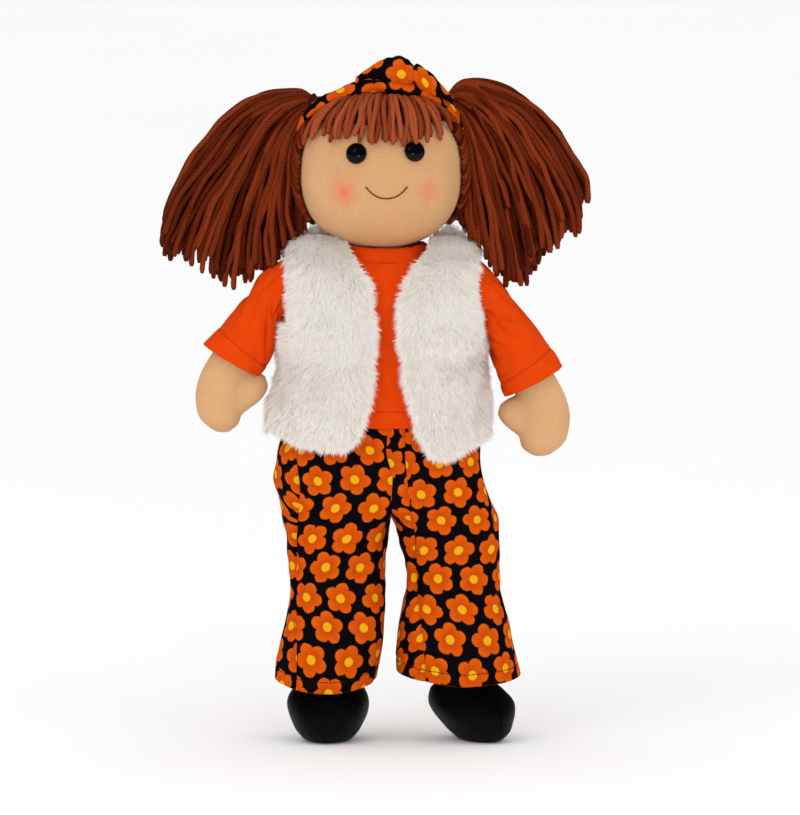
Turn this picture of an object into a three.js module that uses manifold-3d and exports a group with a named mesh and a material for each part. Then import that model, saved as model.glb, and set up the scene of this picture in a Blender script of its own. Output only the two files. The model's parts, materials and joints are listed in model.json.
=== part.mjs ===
// A stuffed rag doll about 350 mm tall: cloth skin and fibre filling, yarn hair in two bunches,
// a T-shirt, flowered trousers and a fur vest. Millimetres, +Z up, the face towards -Y.
// The doll's own right side is at -X.
import * as THREE from "three";
import { mergeVertices } from "three/addons/utils/BufferGeometryUtils.js";
import Module from "manifold-3d";

const wasm = await Module();
wasm.setup();

// Cloth and clearances
const gap = 0.35; // between pieces that touch
const skin = 1.0; // sewn body cloth
const jersey = 1.6; // T-shirt cloth
const twill = 1.8; // trouser cloth
const yarnCoat = 3.9; // sewn hair over the head
const bandCloth = 2.2; // headband
const tape = 1.1; // hook or loop tape

// Head
const headX = -3.6;
const headZ = 293;
const headHalf = [42, 37, 39.5]; // half width, half depth, half height
const headPower = 2.3; // 2 is an ellipsoid, more is squarer
const faceShift = 2.3; // the face sits a little to the doll's left
const eyeSpacing = 29.2;
const eyeRise = 12.6;
const eyeRadius = 5.2;
const eyeHeight = 4.3;
const shankRadius = 1.7;
const shankLength = 9;
const washerRadius = 5;
const washerThickness = 1.2;
const washerDepth = 2.4; // below the face
const mouthHalf = 10.7;
const mouthRise = 6.3;
const mouthDrop = 10.2;
const threadRadius = 0.4;

// Hair and headband
const hairFront = -10; // where the side hair ends and the face begins
const hairBottom = 263;
const fringeBottom = 311;
const bandWidth = 9;
const bandTop = [-11, 337]; // the band's middle on the crown, y and z
const bandTilt = 31; // degrees that the band's foot leans back
const knotHalf = [8.6, 6.6, 7.2];
const knotX = 3.8;
const hornRadius = 12;
const hornLength = 22;
const hornLip = 2; // the sewn root stops this far short of the pivot
const hornFlare = 1.4; // how much wider its lip is than the bunch's root
const bunchY = 9;
const rootRadius = 4.6;
const tieFrom = 3; // along the root, from its pivot
const tieWidth = 2.4;
const tieThickness = 1.9;
const bunchPivot = [35.5, 34.2]; // out from the head's middle, and up

// Neck
const neckX = -2;
const neckBall = 13;
const neckRadius = 9.2;
const nodZ = 262;

// Body and its clothes
const bodyX = -3;
const torsoTop = 249;
const shoulderZ = 232;
const shoulderHalf = 44.4; // to the flat that the arm is sewn to
const armRoot = 9.6;
const armholeRadius = 20.5;
const neckbandOuter = [21, 15.6]; // half width, half depth
const neckbandInner = [16.4, 11.2];
const neckbandHeight = 3.4;
const slitWidth = 0.8; // the T-shirt's opening behind
const shirtHem = 164;
const trouserWaist = 179;
const elasticZ = 173;
const elasticHeight = 5;
const elasticThickness = 1;
const armholeFlare = 24; // the vest's armholes widen by this, from one x to the other
const armholeFlareFrom = 45;
const armholeFlareTo = 60;
const vestNeck = 25.5;
const vestNapeDrop = 251; // the back's neckline, and how far it runs to each side
const vestNapeHalf = 36;
const tapeWidth = 8;
const tapeLength = 44;
const tapeBottom = 178;
const tapeFloor = 22.2; // how far behind the middle the inner tape lies

// Hips, legs and feet
const hipZ = 118.5;
const hipRadius = 21;
const ankleZ = 27;
const ankleRadius = 13.5;
const throatSlack = 0.6; // between the filling at the ankle and the cloth round it
const shoeToeOut = { right: -6, left: 33 };

// Colours
const paint = {
  skin: [0xdeaf82, 0.9],
  filling: [0xf2efe8, 1.0],
  yarn: [0x7d3219, 0.95],
  print: [0x16121a, 0.85],
  shirt: [0xe04114, 0.9],
  fur: [0xe4ddd4, 1.0],
  shoe: [0x0b090b, 0.6],
  eye: [0x050505, 0.12],
  washer: [0xf0f0ee, 0.5],
  thread: [0x82280f, 0.8],
  tie: [0x7a3a22, 0.8],
  elastic: [0xf5f5f2, 0.8],
  tape: [0xe6521e, 0.9],
};

function material(name) {
  const [color, roughness] = paint[name];
  return new THREE.MeshStandardMaterial({ color, roughness, metalness: 0 });
}

// Solids and booleans

function toSolid(geometry) {
  const bare = geometry.index ? geometry.clone() : geometry;
  bare.deleteAttribute("normal");
  bare.deleteAttribute("uv");
  const merged = mergeVertices(bare, 1e-4);
  const solid = new wasm.Manifold(
    new wasm.Mesh({
      numProp: 3,
      vertProperties: new Float32Array(merged.attributes.position.array),
      triVerts: new Uint32Array(merged.index.array),
    }),
  );
  return solid;
}

function toGeometry(solid) {
  const mesh = solid.getMesh();
  const geometry = new THREE.BufferGeometry();
  geometry.setAttribute("position", new THREE.BufferAttribute(mesh.vertProperties, 3));
  geometry.setIndex(new THREE.BufferAttribute(mesh.triVerts, 1));
  return geometry;
}

// A closed skin over a stack of rings, each the same number of points, with a fan over each end.
function skinRings(rings) {
  const facets = rings[0].length;
  const points = rings.flat();
  const sumOf = (ring) => ring.reduce((sum, point) => sum.add(point), new THREE.Vector3());
  const middle = (ring) => sumOf(ring).divideScalar(facets);
  points.push(middle(rings[0]), middle(rings[rings.length - 1]));
  const first = points.length - 2;
  const last = points.length - 1;
  const index = [];
  for (let facet = 0; facet < facets; facet++) {
    const next = (facet + 1) % facets;
    index.push(first, next, facet);
    for (let level = 0; level < rings.length - 1; level++) {
      const low = level * facets;
      const high = low + facets;
      index.push(low + facet, low + next, high + next);
      index.push(low + facet, high + next, high + facet);
    }
    const top = (rings.length - 1) * facets;
    index.push(last, top + facet, top + next);
  }
  const geometry = new THREE.BufferGeometry().setFromPoints(points);
  geometry.setIndex(index);
  return toSolid(geometry);
}

function oval(center, halfA, halfB, axisA, axisB, facets, foldAt = () => 0) {
  const ring = [];
  for (let facet = 0; facet < facets; facet++) {
    const turn = (facet / facets) * 2 * Math.PI;
    const fold = foldAt(turn);
    const point = center.clone();
    point.addScaledVector(axisA, (halfA - fold) * Math.cos(turn));
    point.addScaledVector(axisB, (halfB - fold) * Math.sin(turn));
    ring.push(point);
  }
  return ring;
}

const unitX = new THREE.Vector3(1, 0, 0);
const unitY = new THREE.Vector3(0, 1, 0);

// Level ovals from the bottom up: each entry is height, half width, half depth, middle x, middle y.
function stack(levels, offset, facets = 24, place = new THREE.Matrix4(), fold = () => 0) {
  const rings = levels.map(([z, halfX, halfY, x = 0, y = 0]) => {
    const center = new THREE.Vector3(x, y, z);
    const foldAt = (turn) => fold(z, turn);
    const ring = oval(center, halfX + offset, halfY + offset, unitX, unitY, facets, foldAt);
    return ring.map((point) => point.applyMatrix4(place));
  });
  return skinRings(rings);
}

// The head's round form, grown by an offset.
function headForm(offset, widthSegments = 18, heightSegments = 12) {
  const geometry = new THREE.SphereGeometry(1, widthSegments, heightSegments);
  geometry.rotateX(Math.PI / 2);
  const position = geometry.attributes.position;
  const power = 2 / headPower;
  for (let i = 0; i < position.count; i++) {
    const z = position.getZ(i);
    const level = Math.hypot(position.getX(i), position.getY(i));
    const widen = level > 1e-6 ? Math.pow(level, power) / level : 0;
    position.setXYZ(
      i,
      headX + (headHalf[0] + offset) * position.getX(i) * widen,
      (headHalf[1] + offset) * position.getY(i) * widen,
      headZ + (headHalf[2] + offset) * Math.sign(z) * Math.pow(Math.abs(z), power),
    );
  }
  return toSolid(geometry);
}

// A point on the face, given across and up from the head's middle, and the way the cloth faces there.
function facePoint(across, up) {
  const depthAt = (x, z) => {
    const level = Math.pow(1 - Math.pow(Math.abs(z / headHalf[2]), headPower), 2 / headPower);
    return -headHalf[1] * Math.sqrt(level - (x / headHalf[0]) ** 2);
  };
  const step = 0.01;
  const y = depthAt(across, up);
  const slopeX = (depthAt(across + step, up) - y) / step;
  const slopeZ = (depthAt(across, up + step) - y) / step;
  return {
    point: new THREE.Vector3(headX + across, y, headZ + up),
    normal: new THREE.Vector3(slopeX, -1, slopeZ).normalize(),
  };
}

// A limb, sleeve or bunch lying in the doll's plane: each station gives one edge, the other edge
// and the half depth.
function between(stations, offset, middleY = 0, facets = 12) {
  const rings = stations.map(([outerX, outerZ, innerX, innerZ, halfDepth]) => {
    const outer = new THREE.Vector3(outerX, middleY, outerZ);
    const inner = new THREE.Vector3(innerX, middleY, innerZ);
    const across = outer.clone().sub(inner);
    const half = across.length() / 2;
    const middle = outer.clone().add(inner).divideScalar(2);
    return oval(middle, half + offset, halfDepth + offset, across.normalize(), unitY, facets);
  });
  const solid = skinRings(rings);
  return solid.volume() > 0 ? solid : skinRings(rings.slice().reverse());
}

// The same stations with the first and last pushed out past the ends, to bore a tube through them.
function throughEnds(stations, reach) {
  const push = (from, to) => {
    const runX = to[0] + to[2] - from[0] - from[2];
    const runZ = to[1] + to[3] - from[1] - from[3];
    const run = new THREE.Vector2(runX, runZ).normalize().multiplyScalar(reach);
    return [to[0] + run.x, to[1] + run.y, to[2] + run.x, to[3] + run.y, to[4]];
  };
  const last = stations.length - 1;
  const start = push(stations[1], stations[0]);
  const end = push(stations[last - 1], stations[last]);
  return [start, ...stations.slice(1, last), end];
}

function box(minimum, maximum) {
  const size = maximum.map((value, i) => value - minimum[i]);
  const geometry = new THREE.BoxGeometry(...size);
  geometry.translate(...minimum.map((value, i) => value + size[i] / 2));
  return toSolid(geometry);
}

// A round bar between two points.
function bar(from, to, radiusFrom, radiusTo = radiusFrom, facets = 12) {
  const start = new THREE.Vector3(...from);
  const run = new THREE.Vector3(...to).sub(start);
  const geometry = new THREE.CylinderGeometry(radiusTo, radiusFrom, run.length(), facets);
  geometry.translate(0, run.length() / 2, 0);
  geometry.applyQuaternion(new THREE.Quaternion().setFromUnitVectors(unitY, run.normalize()));
  geometry.translate(...from);
  return toSolid(geometry);
}

function ball(center, radius, widthSegments = 12, heightSegments = 8) {
  const geometry = new THREE.SphereGeometry(radius, widthSegments, heightSegments);
  geometry.rotateX(Math.PI / 2);
  geometry.translate(...center);
  return toSolid(geometry);
}

// Everything above, below, in front of or behind a level, for cutting.
const far = 400;
const above = (z) => box([-far, -far, z], [far, far, far]);
const below = (z) => box([-far, -far, -far], [far, far, z]);
const inFront = (y) => box([-far, -far, -far], [far, y, far]);
const behind = (y) => box([-far, y, -far], [far, far, far]);

// The doll's two sides: its right is at -X.
const bothSides = { right: -1, left: 1 };

const doll = new THREE.Group();

function pivotGroup(parent, x, y, z) {
  const group = new THREE.Group();
  const pivot = new THREE.Vector3(x, y, z);
  group.position.copy(pivot).sub(parent.userData.pivot ?? new THREE.Vector3());
  group.userData.pivot = pivot;
  parent.add(group);
  return group;
}

function addPiece(group, name, solid, colour) {
  const geometry = toGeometry(solid);
  const { x, y, z } = group.userData.pivot;
  geometry.translate(-x, -y, -z);
  const mesh = new THREE.Mesh(geometry, material(colour));
  mesh.name = name;
  group.add(mesh);
}

// Sewn cloth over its filling. formAt gives the form drawn in by an inset, and opening is what
// the cloth leaves open.
function addSewn(group, name, formAt, opening, fillingLess = null) {
  addPiece(group, `${name}_skin`, formAt(0).subtract(formAt(skin)).subtract(opening), "skin");
  const filling = formAt(skin + gap);
  addPiece(group, `${name}_filling`, fillingLess ? filling.subtract(fillingLess) : filling, "filling");
}

const torsoGroup = pivotGroup(doll, bodyX, 0, hipZ);
const neckGroup = pivotGroup(torsoGroup, neckX, 0, torsoTop);
const headGroup = pivotGroup(neckGroup, neckX, 0, nodZ);

// Torso

const torsoLevels = [
  [118, 48.5, 19, bodyX],
  [130, 49.5, 21.5, bodyX],
  [141, 50, 22.8, bodyX],
  [155, 49.5, 24.5, bodyX],
  [175, 46.8, 26, bodyX],
  [182, 46.2, 26.5, bodyX],
  [195, 45.4, 27, bodyX],
  [215, 45.4, 26, bodyX],
  [232, 45.4, 24, bodyX],
  [241, 38.5, 20.5, bodyX],
  [246.5, 31, 16.5, bodyX],
  [torsoTop, 24, 14, neckX],
];
const slopeStart = 228; // above this the shoulders turn level, so clothes over them also rise

// The torso's form grown by an offset, and by more where a garment hangs outside the trousers.
function torsoForm(offset, outsideTrousers = 0) {
  const levels = torsoLevels.map(([z, halfX, halfY, x]) => {
    const raise = Math.max(0, (z - slopeStart) / (torsoTop - slopeStart)) * offset;
    const hang = z > trouserWaist + 5 ? 0 : outsideTrousers;
    return [z + raise, halfX + hang, halfY + hang, x];
  });
  return stack(levels, offset, 16);
}

// What the legs sweep as they swing: the round end of the thigh, the lap in front and a little behind.
const trouserHip = hipRadius + gap + twill;
const thighReach = trouserHip + gap;
const lapZ = hipZ + thighReach;
const swingBackRise = 9;

function legSweep(growth) {
  const facets = 16;
  const reach = (thighReach + growth) / Math.cos(Math.PI / facets);
  return bar([-far, 0, hipZ], [far, 0, hipZ], reach, reach, facets)
    .add(box([-far, -far, -far], [far, 0, lapZ + growth]))
    .add(below(hipZ + swingBackRise + growth));
}

function shoulderFlats(growth) {
  const half = shoulderHalf - growth;
  const right = box([-far, -far, -far], [bodyX - half, far, far]);
  return right.add(box([bodyX + half, -far, -far], [far, far, far]));
}

function armBar(radius) {
  return bar([-far, 0, shoulderZ], [far, 0, shoulderZ], radius);
}

function tapePocket(growth) {
  const half = tapeWidth / 2 + gap + growth;
  const low = tapeBottom - gap - growth;
  const high = tapeBottom + tapeLength + gap + growth;
  return box([bodyX - half, tapeFloor - growth, low], [bodyX + half, far, high]);
}

function torsoAt(inset) {
  return torsoForm(-inset)
    .subtract(legSweep(inset))
    .subtract(shoulderFlats(inset).intersect(armBar(armRoot + 2 * gap + inset)))
    .subtract(tapePocket(inset));
}

function addTorso() {
  const neckSeam = bar([neckX, 0, torsoTop - 5], [neckX, 0, torsoTop + 5], neckRadius - 2);
  addSewn(torsoGroup, "torso", torsoAt, neckSeam);
}

// T-shirt body, its neckband and the tapes that close it behind

const overTrousers = gap + twill; // how much further out the shirt hangs over the trousers
const slitX = bodyX + tapeWidth / 2;
const backSlit = box([slitX, 0, -far], [slitX + slitWidth, far, far]);

function neckOval(halfX, halfY, from, to) {
  return stack([[from, halfX, halfY, neckX], [to, halfX, halfY, neckX]], 0, 20);
}

function addShirt() {
  const neckline = neckOval(neckbandOuter[0] + gap, neckbandOuter[1] + gap, torsoTop - 6, torsoTop + 20);
  const body = torsoForm(gap + jersey, overTrousers)
    .subtract(torsoForm(gap, overTrousers))
    .subtract(below(shirtHem))
    .subtract(neckline)
    .subtract(armBar(armRoot + 3 * gap))
    .subtract(backSlit);
  addPiece(torsoGroup, "shirt_body", body, "shirt");
  const bottom = torsoTop + gap;
  const neckband = neckOval(...neckbandOuter, bottom, bottom + neckbandHeight)
    .subtract(neckOval(...neckbandInner, bottom - 5, bottom + neckbandHeight + 5))
    .subtract(backSlit);
  addPiece(torsoGroup, "shirt_neckband", neckband, "shirt");
  ["shirt_loop_tape", "shirt_hook_tape"].forEach((name, layer) => {
    const y = tapeFloor + gap + layer * (tape + gap);
    const low = [bodyX - tapeWidth / 2, y, tapeBottom];
    const high = [bodyX + tapeWidth / 2, y + tape, tapeBottom + tapeLength];
    addPiece(torsoGroup, name, box(low, high), "tape");
  });
}

// Trousers seat and its waist elastic

function addSeat() {
  const grooveTop = elasticZ + elasticHeight;
  const groove = torsoForm(2 * gap + elasticThickness)
    .subtract(below(elasticZ - gap))
    .subtract(above(grooveTop + gap));
  const seat = torsoForm(gap + twill)
    .subtract(torsoForm(gap))
    .subtract(above(trouserWaist))
    .subtract(legSweep(0))
    .subtract(groove);
  addPiece(torsoGroup, "trousers_seat", seat, "print");
  const elastic = torsoForm(gap + elasticThickness)
    .subtract(torsoForm(gap))
    .subtract(below(elasticZ))
    .subtract(above(grooveTop));
  addPiece(torsoGroup, "waist_elastic", elastic, "elastic");
}

// Fur vest: two fronts and a back, cut from one shell

const vestLevels = [
  [142, 57.5, 33, bodyX],
  [152, 58.5, 34, bodyX],
  [165, 58.5, 35, bodyX],
  [180, 56.3, 35.5, bodyX],
  [195, 52.6, 35.8, bodyX],
  [212, 52, 35, bodyX],
  [230, 51, 33, bodyX],
  [243, 48.5, 28, bodyX],
  [252, 44, 22, bodyX],
  [256, 38, 15, bodyX],
  [257.4, 30, 9, bodyX],
  [257.8, 26, 6, bodyX],
];
// Front view of each front, from the side seam round the hem and up the open edge, x and z.
const vestFronts = {
  right: [
    [-90, 163], [-62, 161], [-44, 153], [-21.5, 151], [-12.3, 160], [-6.1, 181],
    [-4.1, 202], [-4.1, 222], [-7.7, 243], [-22, 262], [-22, 290], [-90, 290],
  ],
  left: [
    [90, 160], [57, 158], [45.6, 152], [29.2, 145], [17.2, 149], [11, 163], [5.6, 187],
    [3.1, 213], [3.6, 235], [12.3, 247], [24, 262], [24, 290], [90, 290],
  ],
};
const vestBackHem = 156;

// What is seen from the front inside an outline, cut straight through from y to y.
function seenInside(outline, fromY, toY) {
  const shape = new THREE.Shape(outline.map(([x, z]) => new THREE.Vector2(x, z)));
  const geometry = new THREE.ExtrudeGeometry(shape, { depth: toY - fromY, bevelEnabled: false });
  geometry.rotateX(Math.PI / 2);
  geometry.translate(0, toY, 0);
  return toSolid(geometry);
}

function addVest() {
  const lining = torsoForm(gap + jersey + gap, overTrousers);
  const neckHole = bar([neckX, 0, torsoTop - 10], [neckX, 0, torsoTop + 60], vestNeck, vestNeck, 20);
  let shell = stack(vestLevels, 0, 18).subtract(lining).subtract(neckHole).subtract(armBar(armholeRadius));
  for (const side of Object.values(bothSides)) {
    const flareFrom = [bodyX + side * armholeFlareFrom, 0, shoulderZ];
    const flareTo = [bodyX + side * armholeFlareTo, 0, shoulderZ];
    shell = shell.subtract(bar(flareFrom, flareTo, armholeRadius, armholeRadius + armholeFlare));
  }
  for (const name of Object.keys(bothSides)) {
    const front = shell.intersect(seenInside(vestFronts[name], -far, -gap / 2));
    addPiece(torsoGroup, `vest_front_${name}`, front, "fur");
  }
  const nape = box([bodyX - vestNapeHalf, 8, vestNapeDrop], [bodyX + vestNapeHalf, far, far]);
  const back = shell.subtract(inFront(gap / 2)).subtract(below(vestBackHem)).subtract(nape);
  addPiece(torsoGroup, "vest_back", back, "fur");
}

// Arms and sleeves. The root is round about the shoulder's axis, so that it can turn there.

const rootX = (side, out) => bodyX + side * (shoulderHalf + out);
const roundRoot = (side, out, radius) => [
  rootX(side, out), shoulderZ + radius, rootX(side, out), shoulderZ - radius, radius,
];
const armStations = {
  right: [
    [-58, 237, -54, 219, 10.5],
    [-69, 224.5, -57, 207.5, 10.5],
    [-80, 212, -64, 196, 10],
    [-90, 199, -71, 188, 9.5],
    [-97, 186, -74.5, 178, 9.3],
    [-98.7, 174, -75, 168, 9.3],
    [-95, 163.8, -77.5, 161.5, 7.5],
    [-89, 160, -82, 159.2, 3.5],
  ],
  left: [
    [53, 235.5, 48.5, 217.5, 10.5],
    [63, 222, 54, 205, 10.5],
    [74, 205, 60, 192, 10],
    [86, 186.5, 66, 177, 9.5],
    [92, 174, 67, 168, 9.3],
    [93, 160.5, 67, 156.5, 9.3],
    [88.5, 151, 70, 149, 7.5],
    [82.5, 147.6, 75, 147, 3.5],
  ],
};
const thumbStations = {
  right: [
    [-86, 172, -79, 163, 4.5],
    [-74.5, 180, -68.5, 171.5, 4.8],
    [-67.5, 184, -63.5, 177.5, 4.2],
    [-64.6, 184.8, -62.6, 181.4, 2],
  ],
  left: [
    [78, 162, 73, 152, 4.5],
    [69.5, 167, 63.5, 158.5, 4.8],
    [63.5, 170.3, 59.5, 164, 4.2],
    [60.6, 170.6, 58.8, 167.4, 2],
  ],
};
const sleeveStations = {
  right: [
    [-60, 243.5, -52, 214, 16.5],
    [-73, 227.5, -55.5, 204.5, 16],
    [-84, 214.5, -61, 194, 15.3],
    [-93.7, 203, -66, 187, 14.5],
  ],
  left: [
    [54, 240, 46, 213, 16.5],
    [65, 226, 50.5, 202, 16],
    [77.5, 209, 55.5, 189, 15.3],
    [88.6, 191.5, 60, 176.5, 14.5],
  ],
};
const sleeveRoot = 3.5; // the sleeve starts clear of the shirt's side
const sleeveRadius = 17;

function addArm(name, side) {
  const group = pivotGroup(torsoGroup, rootX(side, 0), 0, shoulderZ);
  const root = [roundRoot(side, gap, armRoot), roundRoot(side, sleeveRoot + 1, armRoot)];
  const reach = [...root, ...armStations[name]];
  const armAt = (inset) => between(reach, -inset).add(between(thumbStations[name], -inset));
  const seam = bar([rootX(side, 3), 0, shoulderZ], [rootX(side, -3), 0, shoulderZ], armRoot - 2.5);
  addSewn(group, `arm_${name}`, armAt, seam);
  const sleeve = [roundRoot(side, sleeveRoot, sleeveRadius), ...sleeveStations[name]];
  const bore = between(throughEnds(sleeve, 3), -jersey);
  addPiece(group, `shirt_sleeve_${name}`, between(sleeve, 0).subtract(bore), "shirt");
}

// Legs, trouser legs and shoes

const hipBend = [80, 60, 40, 20]; // degrees round the thigh's end
const legSides = {
  right: { hipX: -26.6, ankleX: -30 },
  left: { hipX: 31.4, ankleX: 39.5 },
};
const trouserLevels = {
  right: [
    [hipZ, 28, trouserHip, -26.6],
    [98, 25.4, 22, -26.2],
    [79, 24.6, 21.6, -25.6],
    [58, 25.5, 21.6, -27.6],
    [40, 27, 22, -30.8],
    [28, 27.6, 22, -31.4],
  ],
  left: [
    [hipZ, 26, trouserHip, 31.4],
    [98, 25.4, 22, 31.8],
    [79, 24.8, 21.6, 33.6],
    [58, 27.4, 21.6, 34.2],
    [40, 30, 22, 35.4],
    [30.5, 30.6, 22, 36],
  ],
};
const legHalfWidths = [[hipZ, 22.5], [98, 19], [79, 17], [58, 15], [40, 14], [ankleZ, ankleRadius]];

function hipEnd(radius, halfWidth, x) {
  return hipBend.map((degrees) => {
    const bend = THREE.MathUtils.degToRad(degrees);
    return [hipZ + radius * Math.sin(bend), halfWidth, radius * Math.cos(bend), x];
  });
}

function legAt(name, inset) {
  const { hipX, ankleX } = legSides[name];
  const levels = legHalfWidths.map(([z, half]) => {
    const x = THREE.MathUtils.mapLinear(z, hipZ, ankleZ, hipX, ankleX);
    return [z, half, z === hipZ ? hipRadius : half, x];
  });
  return stack([...hipEnd(hipRadius, legHalfWidths[0][1] - 1.5, hipX), ...levels].reverse(), -inset, 12);
}

const shoeLevels = [
  [0, 12.5, 16, 0, -7],
  [1.2, 15.5, 19, 0, -7],
  [4.5, 18.6, 23, 0, -7.5],
  [9.5, 20.6, 25.6, 0, -7.5],
  [15, 21, 25.6, 0, -6.8],
  [20, 19.5, 22.5, 0, -5],
  [24, 16.5, 17.5, 0, -2.4],
  [ankleZ - gap, 13.6, 13.6, 0, 0],
];

function shoeAt(name, inset) {
  const { ankleX } = legSides[name];
  const levels = shoeLevels.map(([z, ...rest], i) => [i === 0 ? z + inset : z, ...rest]);
  const place = new THREE.Matrix4()
    .makeTranslation(ankleX, 0, 0)
    .multiply(new THREE.Matrix4().makeRotationZ(THREE.MathUtils.degToRad(shoeToeOut[name])));
  return stack(levels, -inset, 14, place);
}

// Each trouser leg has one long fold down its front, to the viewer's left, from below the hip to the hem.
const foldDepth = 2.6;
const foldTurn = THREE.MathUtils.degToRad(216);
const foldSpread = 0.36;

function trouserFold(z, turn) {
  const grown = THREE.MathUtils.smoothstep(hipZ - z, 0, 25);
  return foldDepth * grown * Math.exp(-(((turn - foldTurn) / foldSpread) ** 2));
}

function addLeg(name) {
  const { hipX, ankleX } = legSides[name];
  const group = pivotGroup(torsoGroup, hipX, 0, hipZ);
  const acrossAnkle = (radius) => bar([ankleX, 0, ankleZ - 6], [ankleX, 0, ankleZ + 6], radius);
  const opening = acrossAnkle(ankleRadius - skin);
  const cloth = legAt(name, 0).subtract(legAt(name, skin)).subtract(opening);
  addPiece(group, `leg_${name}_skin`, cloth, "skin");
  const shoe = shoeAt(name, 0).subtract(shoeAt(name, skin)).subtract(opening);
  addPiece(group, `shoe_${name}`, shoe, "shoe");
  const throat = acrossAnkle(ankleRadius - skin - gap - throatSlack);
  const filling = legAt(name, skin + gap).add(shoeAt(name, skin + gap)).add(throat);
  addPiece(group, `leg_${name}_filling`, filling, "filling");

  const trousers = trouserLevels[name];
  const outer = [...hipEnd(trouserHip, trousers[0][1] - 1, hipX), ...trousers];
  const [hemZ, ...hemOval] = trousers.at(-1);
  const inner = [...outer, [hemZ - 5, ...hemOval]];
  const seatOpening = box([hipX - 15, -10, hipZ], [hipX + 15, 10, lapZ + 5]);
  const upright = new THREE.Matrix4();
  const trouserLeg = stack(outer.reverse(), 0, 18, upright, trouserFold)
    .subtract(stack(inner.reverse(), -twill, 18, upright, trouserFold))
    .subtract(seatOpening);
  addPiece(group, `trouser_leg_${name}`, trouserLeg, "print");
}

// Neck: a ball inside the head on a short stub

function addNeck() {
  const stub = bar([neckX, 0, torsoTop - 5], [neckX, 0, nodZ], neckRadius);
  const neck = ball([neckX, 0, nodZ], neckBall, 16, 10).add(stub).subtract(below(torsoTop + gap));
  addPiece(neckGroup, "neck", neck, "skin");
}

// Head, with its eyes and mouth

function alongFace(spot, out) {
  return spot.point.clone().addScaledVector(spot.normal, out).toArray();
}

const eyeSpots = {
  right: facePoint(faceShift - eyeSpacing / 2, eyeRise),
  left: facePoint(faceShift + eyeSpacing / 2, eyeRise),
};

function addHead() {
  let shanks = null;
  let pockets = null;
  for (const spot of Object.values(eyeSpots)) {
    const shankEnd = alongFace(spot, -shankLength - gap);
    const shank = bar(alongFace(spot, 4), shankEnd, shankRadius + gap, undefined, 8);
    const pocketTop = alongFace(spot, 2);
    const pocketFloor = alongFace(spot, -washerDepth - washerThickness - gap);
    const pocket = bar(pocketTop, pocketFloor, washerRadius + gap);
    shanks = shanks ? shanks.add(shank) : shank;
    pockets = pockets ? pockets.add(pocket) : pocket;
  }
  const socketAt = (inset) => ball([neckX, 0, nodZ], neckBall + 2 * gap + inset, 16, 10);
  const headAt = (inset) => headForm(-inset).subtract(socketAt(inset));
  addSewn(headGroup, "head", headAt, shanks, shanks.add(pockets));
}

function addEye(name, spot) {
  const dome = [];
  for (let i = 0; i <= 5; i++) {
    const bend = (i / 5) * (Math.PI / 2);
    dome.push(new THREE.Vector2(eyeRadius * Math.cos(bend), gap + eyeHeight * Math.sin(bend)));
  }
  dome[5].x = 0;
  const profile = [
    new THREE.Vector2(0, -shankLength),
    new THREE.Vector2(shankRadius, -shankLength),
    new THREE.Vector2(shankRadius, gap),
    ...dome,
  ];
  const turn = new THREE.Quaternion().setFromUnitVectors(unitY, spot.normal);
  const eye = new THREE.LatheGeometry(profile, 12);
  eye.applyQuaternion(turn);
  eye.translate(...spot.point.toArray());
  addPiece(headGroup, `eye_${name}`, toSolid(eye), "eye");
  const near = alongFace(spot, -washerDepth);
  const back = alongFace(spot, -washerDepth - washerThickness);
  const washer = bar(near, back, washerRadius).subtract(
    bar(alongFace(spot, 2), alongFace(spot, -shankLength), shankRadius + gap, undefined, 8),
  );
  addPiece(headGroup, `eye_washer_${name}`, washer, "washer");
}

function addMouth() {
  const steps = 16;
  const path = [];
  for (let i = 0; i <= steps; i++) {
    const across = THREE.MathUtils.lerp(-mouthHalf, mouthHalf, i / steps);
    const up = mouthRise * (across / mouthHalf) ** 2 - mouthDrop;
    const spot = facePoint(faceShift + across, up);
    path.push(spot.point.clone().addScaledVector(spot.normal, threadRadius + gap));
  }
  const section = new THREE.Shape();
  section.absarc(0, 0, threadRadius, 0, 2 * Math.PI);
  const thread = new THREE.ExtrudeGeometry(section, {
    steps: 14,
    curveSegments: 3,
    bevelEnabled: false,
    extrudePath: new THREE.CatmullRomCurve3(path),
  });
  addPiece(headGroup, "mouth_stitching", toSolid(thread), "thread");
}

// Hair sewn over the head, the fringe, the headband with its knot, and the two bunches

// The slab of space that the headband's plane takes up round the head.
function bandSlab(halfWidth) {
  const slab = new THREE.BoxGeometry(200, 2 * halfWidth, 300);
  slab.rotateX(THREE.MathUtils.degToRad(bandTilt));
  slab.translate(headX, bandTop[0], bandTop[1]);
  return toSolid(slab);
}

function bunchPivotAt(side) {
  return new THREE.Vector3(headX + side * bunchPivot[0], bunchY, headZ + bunchPivot[1]);
}

function bunchOut(side) {
  return new THREE.Vector3(side * bunchPivot[0], 0, bunchPivot[1]).normalize();
}

// Each bunch from its root to its tips, measured from its pivot: one edge, the other edge, half depth.
// x is away from the head.
const bunchRoot = [
  [-4.0, 2.0, 1.8, -4.1, 4.0],
  [-1.2, 4.9, 4.8, -1.4, 4.3],
  [0.8, 7.8, 7.8, 0.6, 5],
];
const bunchStations = {
  right: [
    ...bunchRoot,
    [9, 10, 10.5, -3.5, 7],
    [24.5, 8, 11, -13, 9.5],
    [43.5, -6, 12.7, -29, 11],
    [62, -28, 13.5, -46, 11],
    [75, -54, 14, -60, 11],
    [74, -70, 20.5, -74, 9],
    [61, -84, 34, -88, 4],
  ],
  left: [
    ...bunchRoot,
    [10, 11.5, 10.5, -3.5, 7],
    [26, 11, 11, -13, 9.5],
    [44, -1, 12.7, -29, 11],
    [61, -19, 13.5, -46, 11],
    [73.5, -43, 14, -60, 11],
    [68, -64, 18, -74, 9],
    [52, -84, 30, -90, 4],
  ],
};

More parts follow.
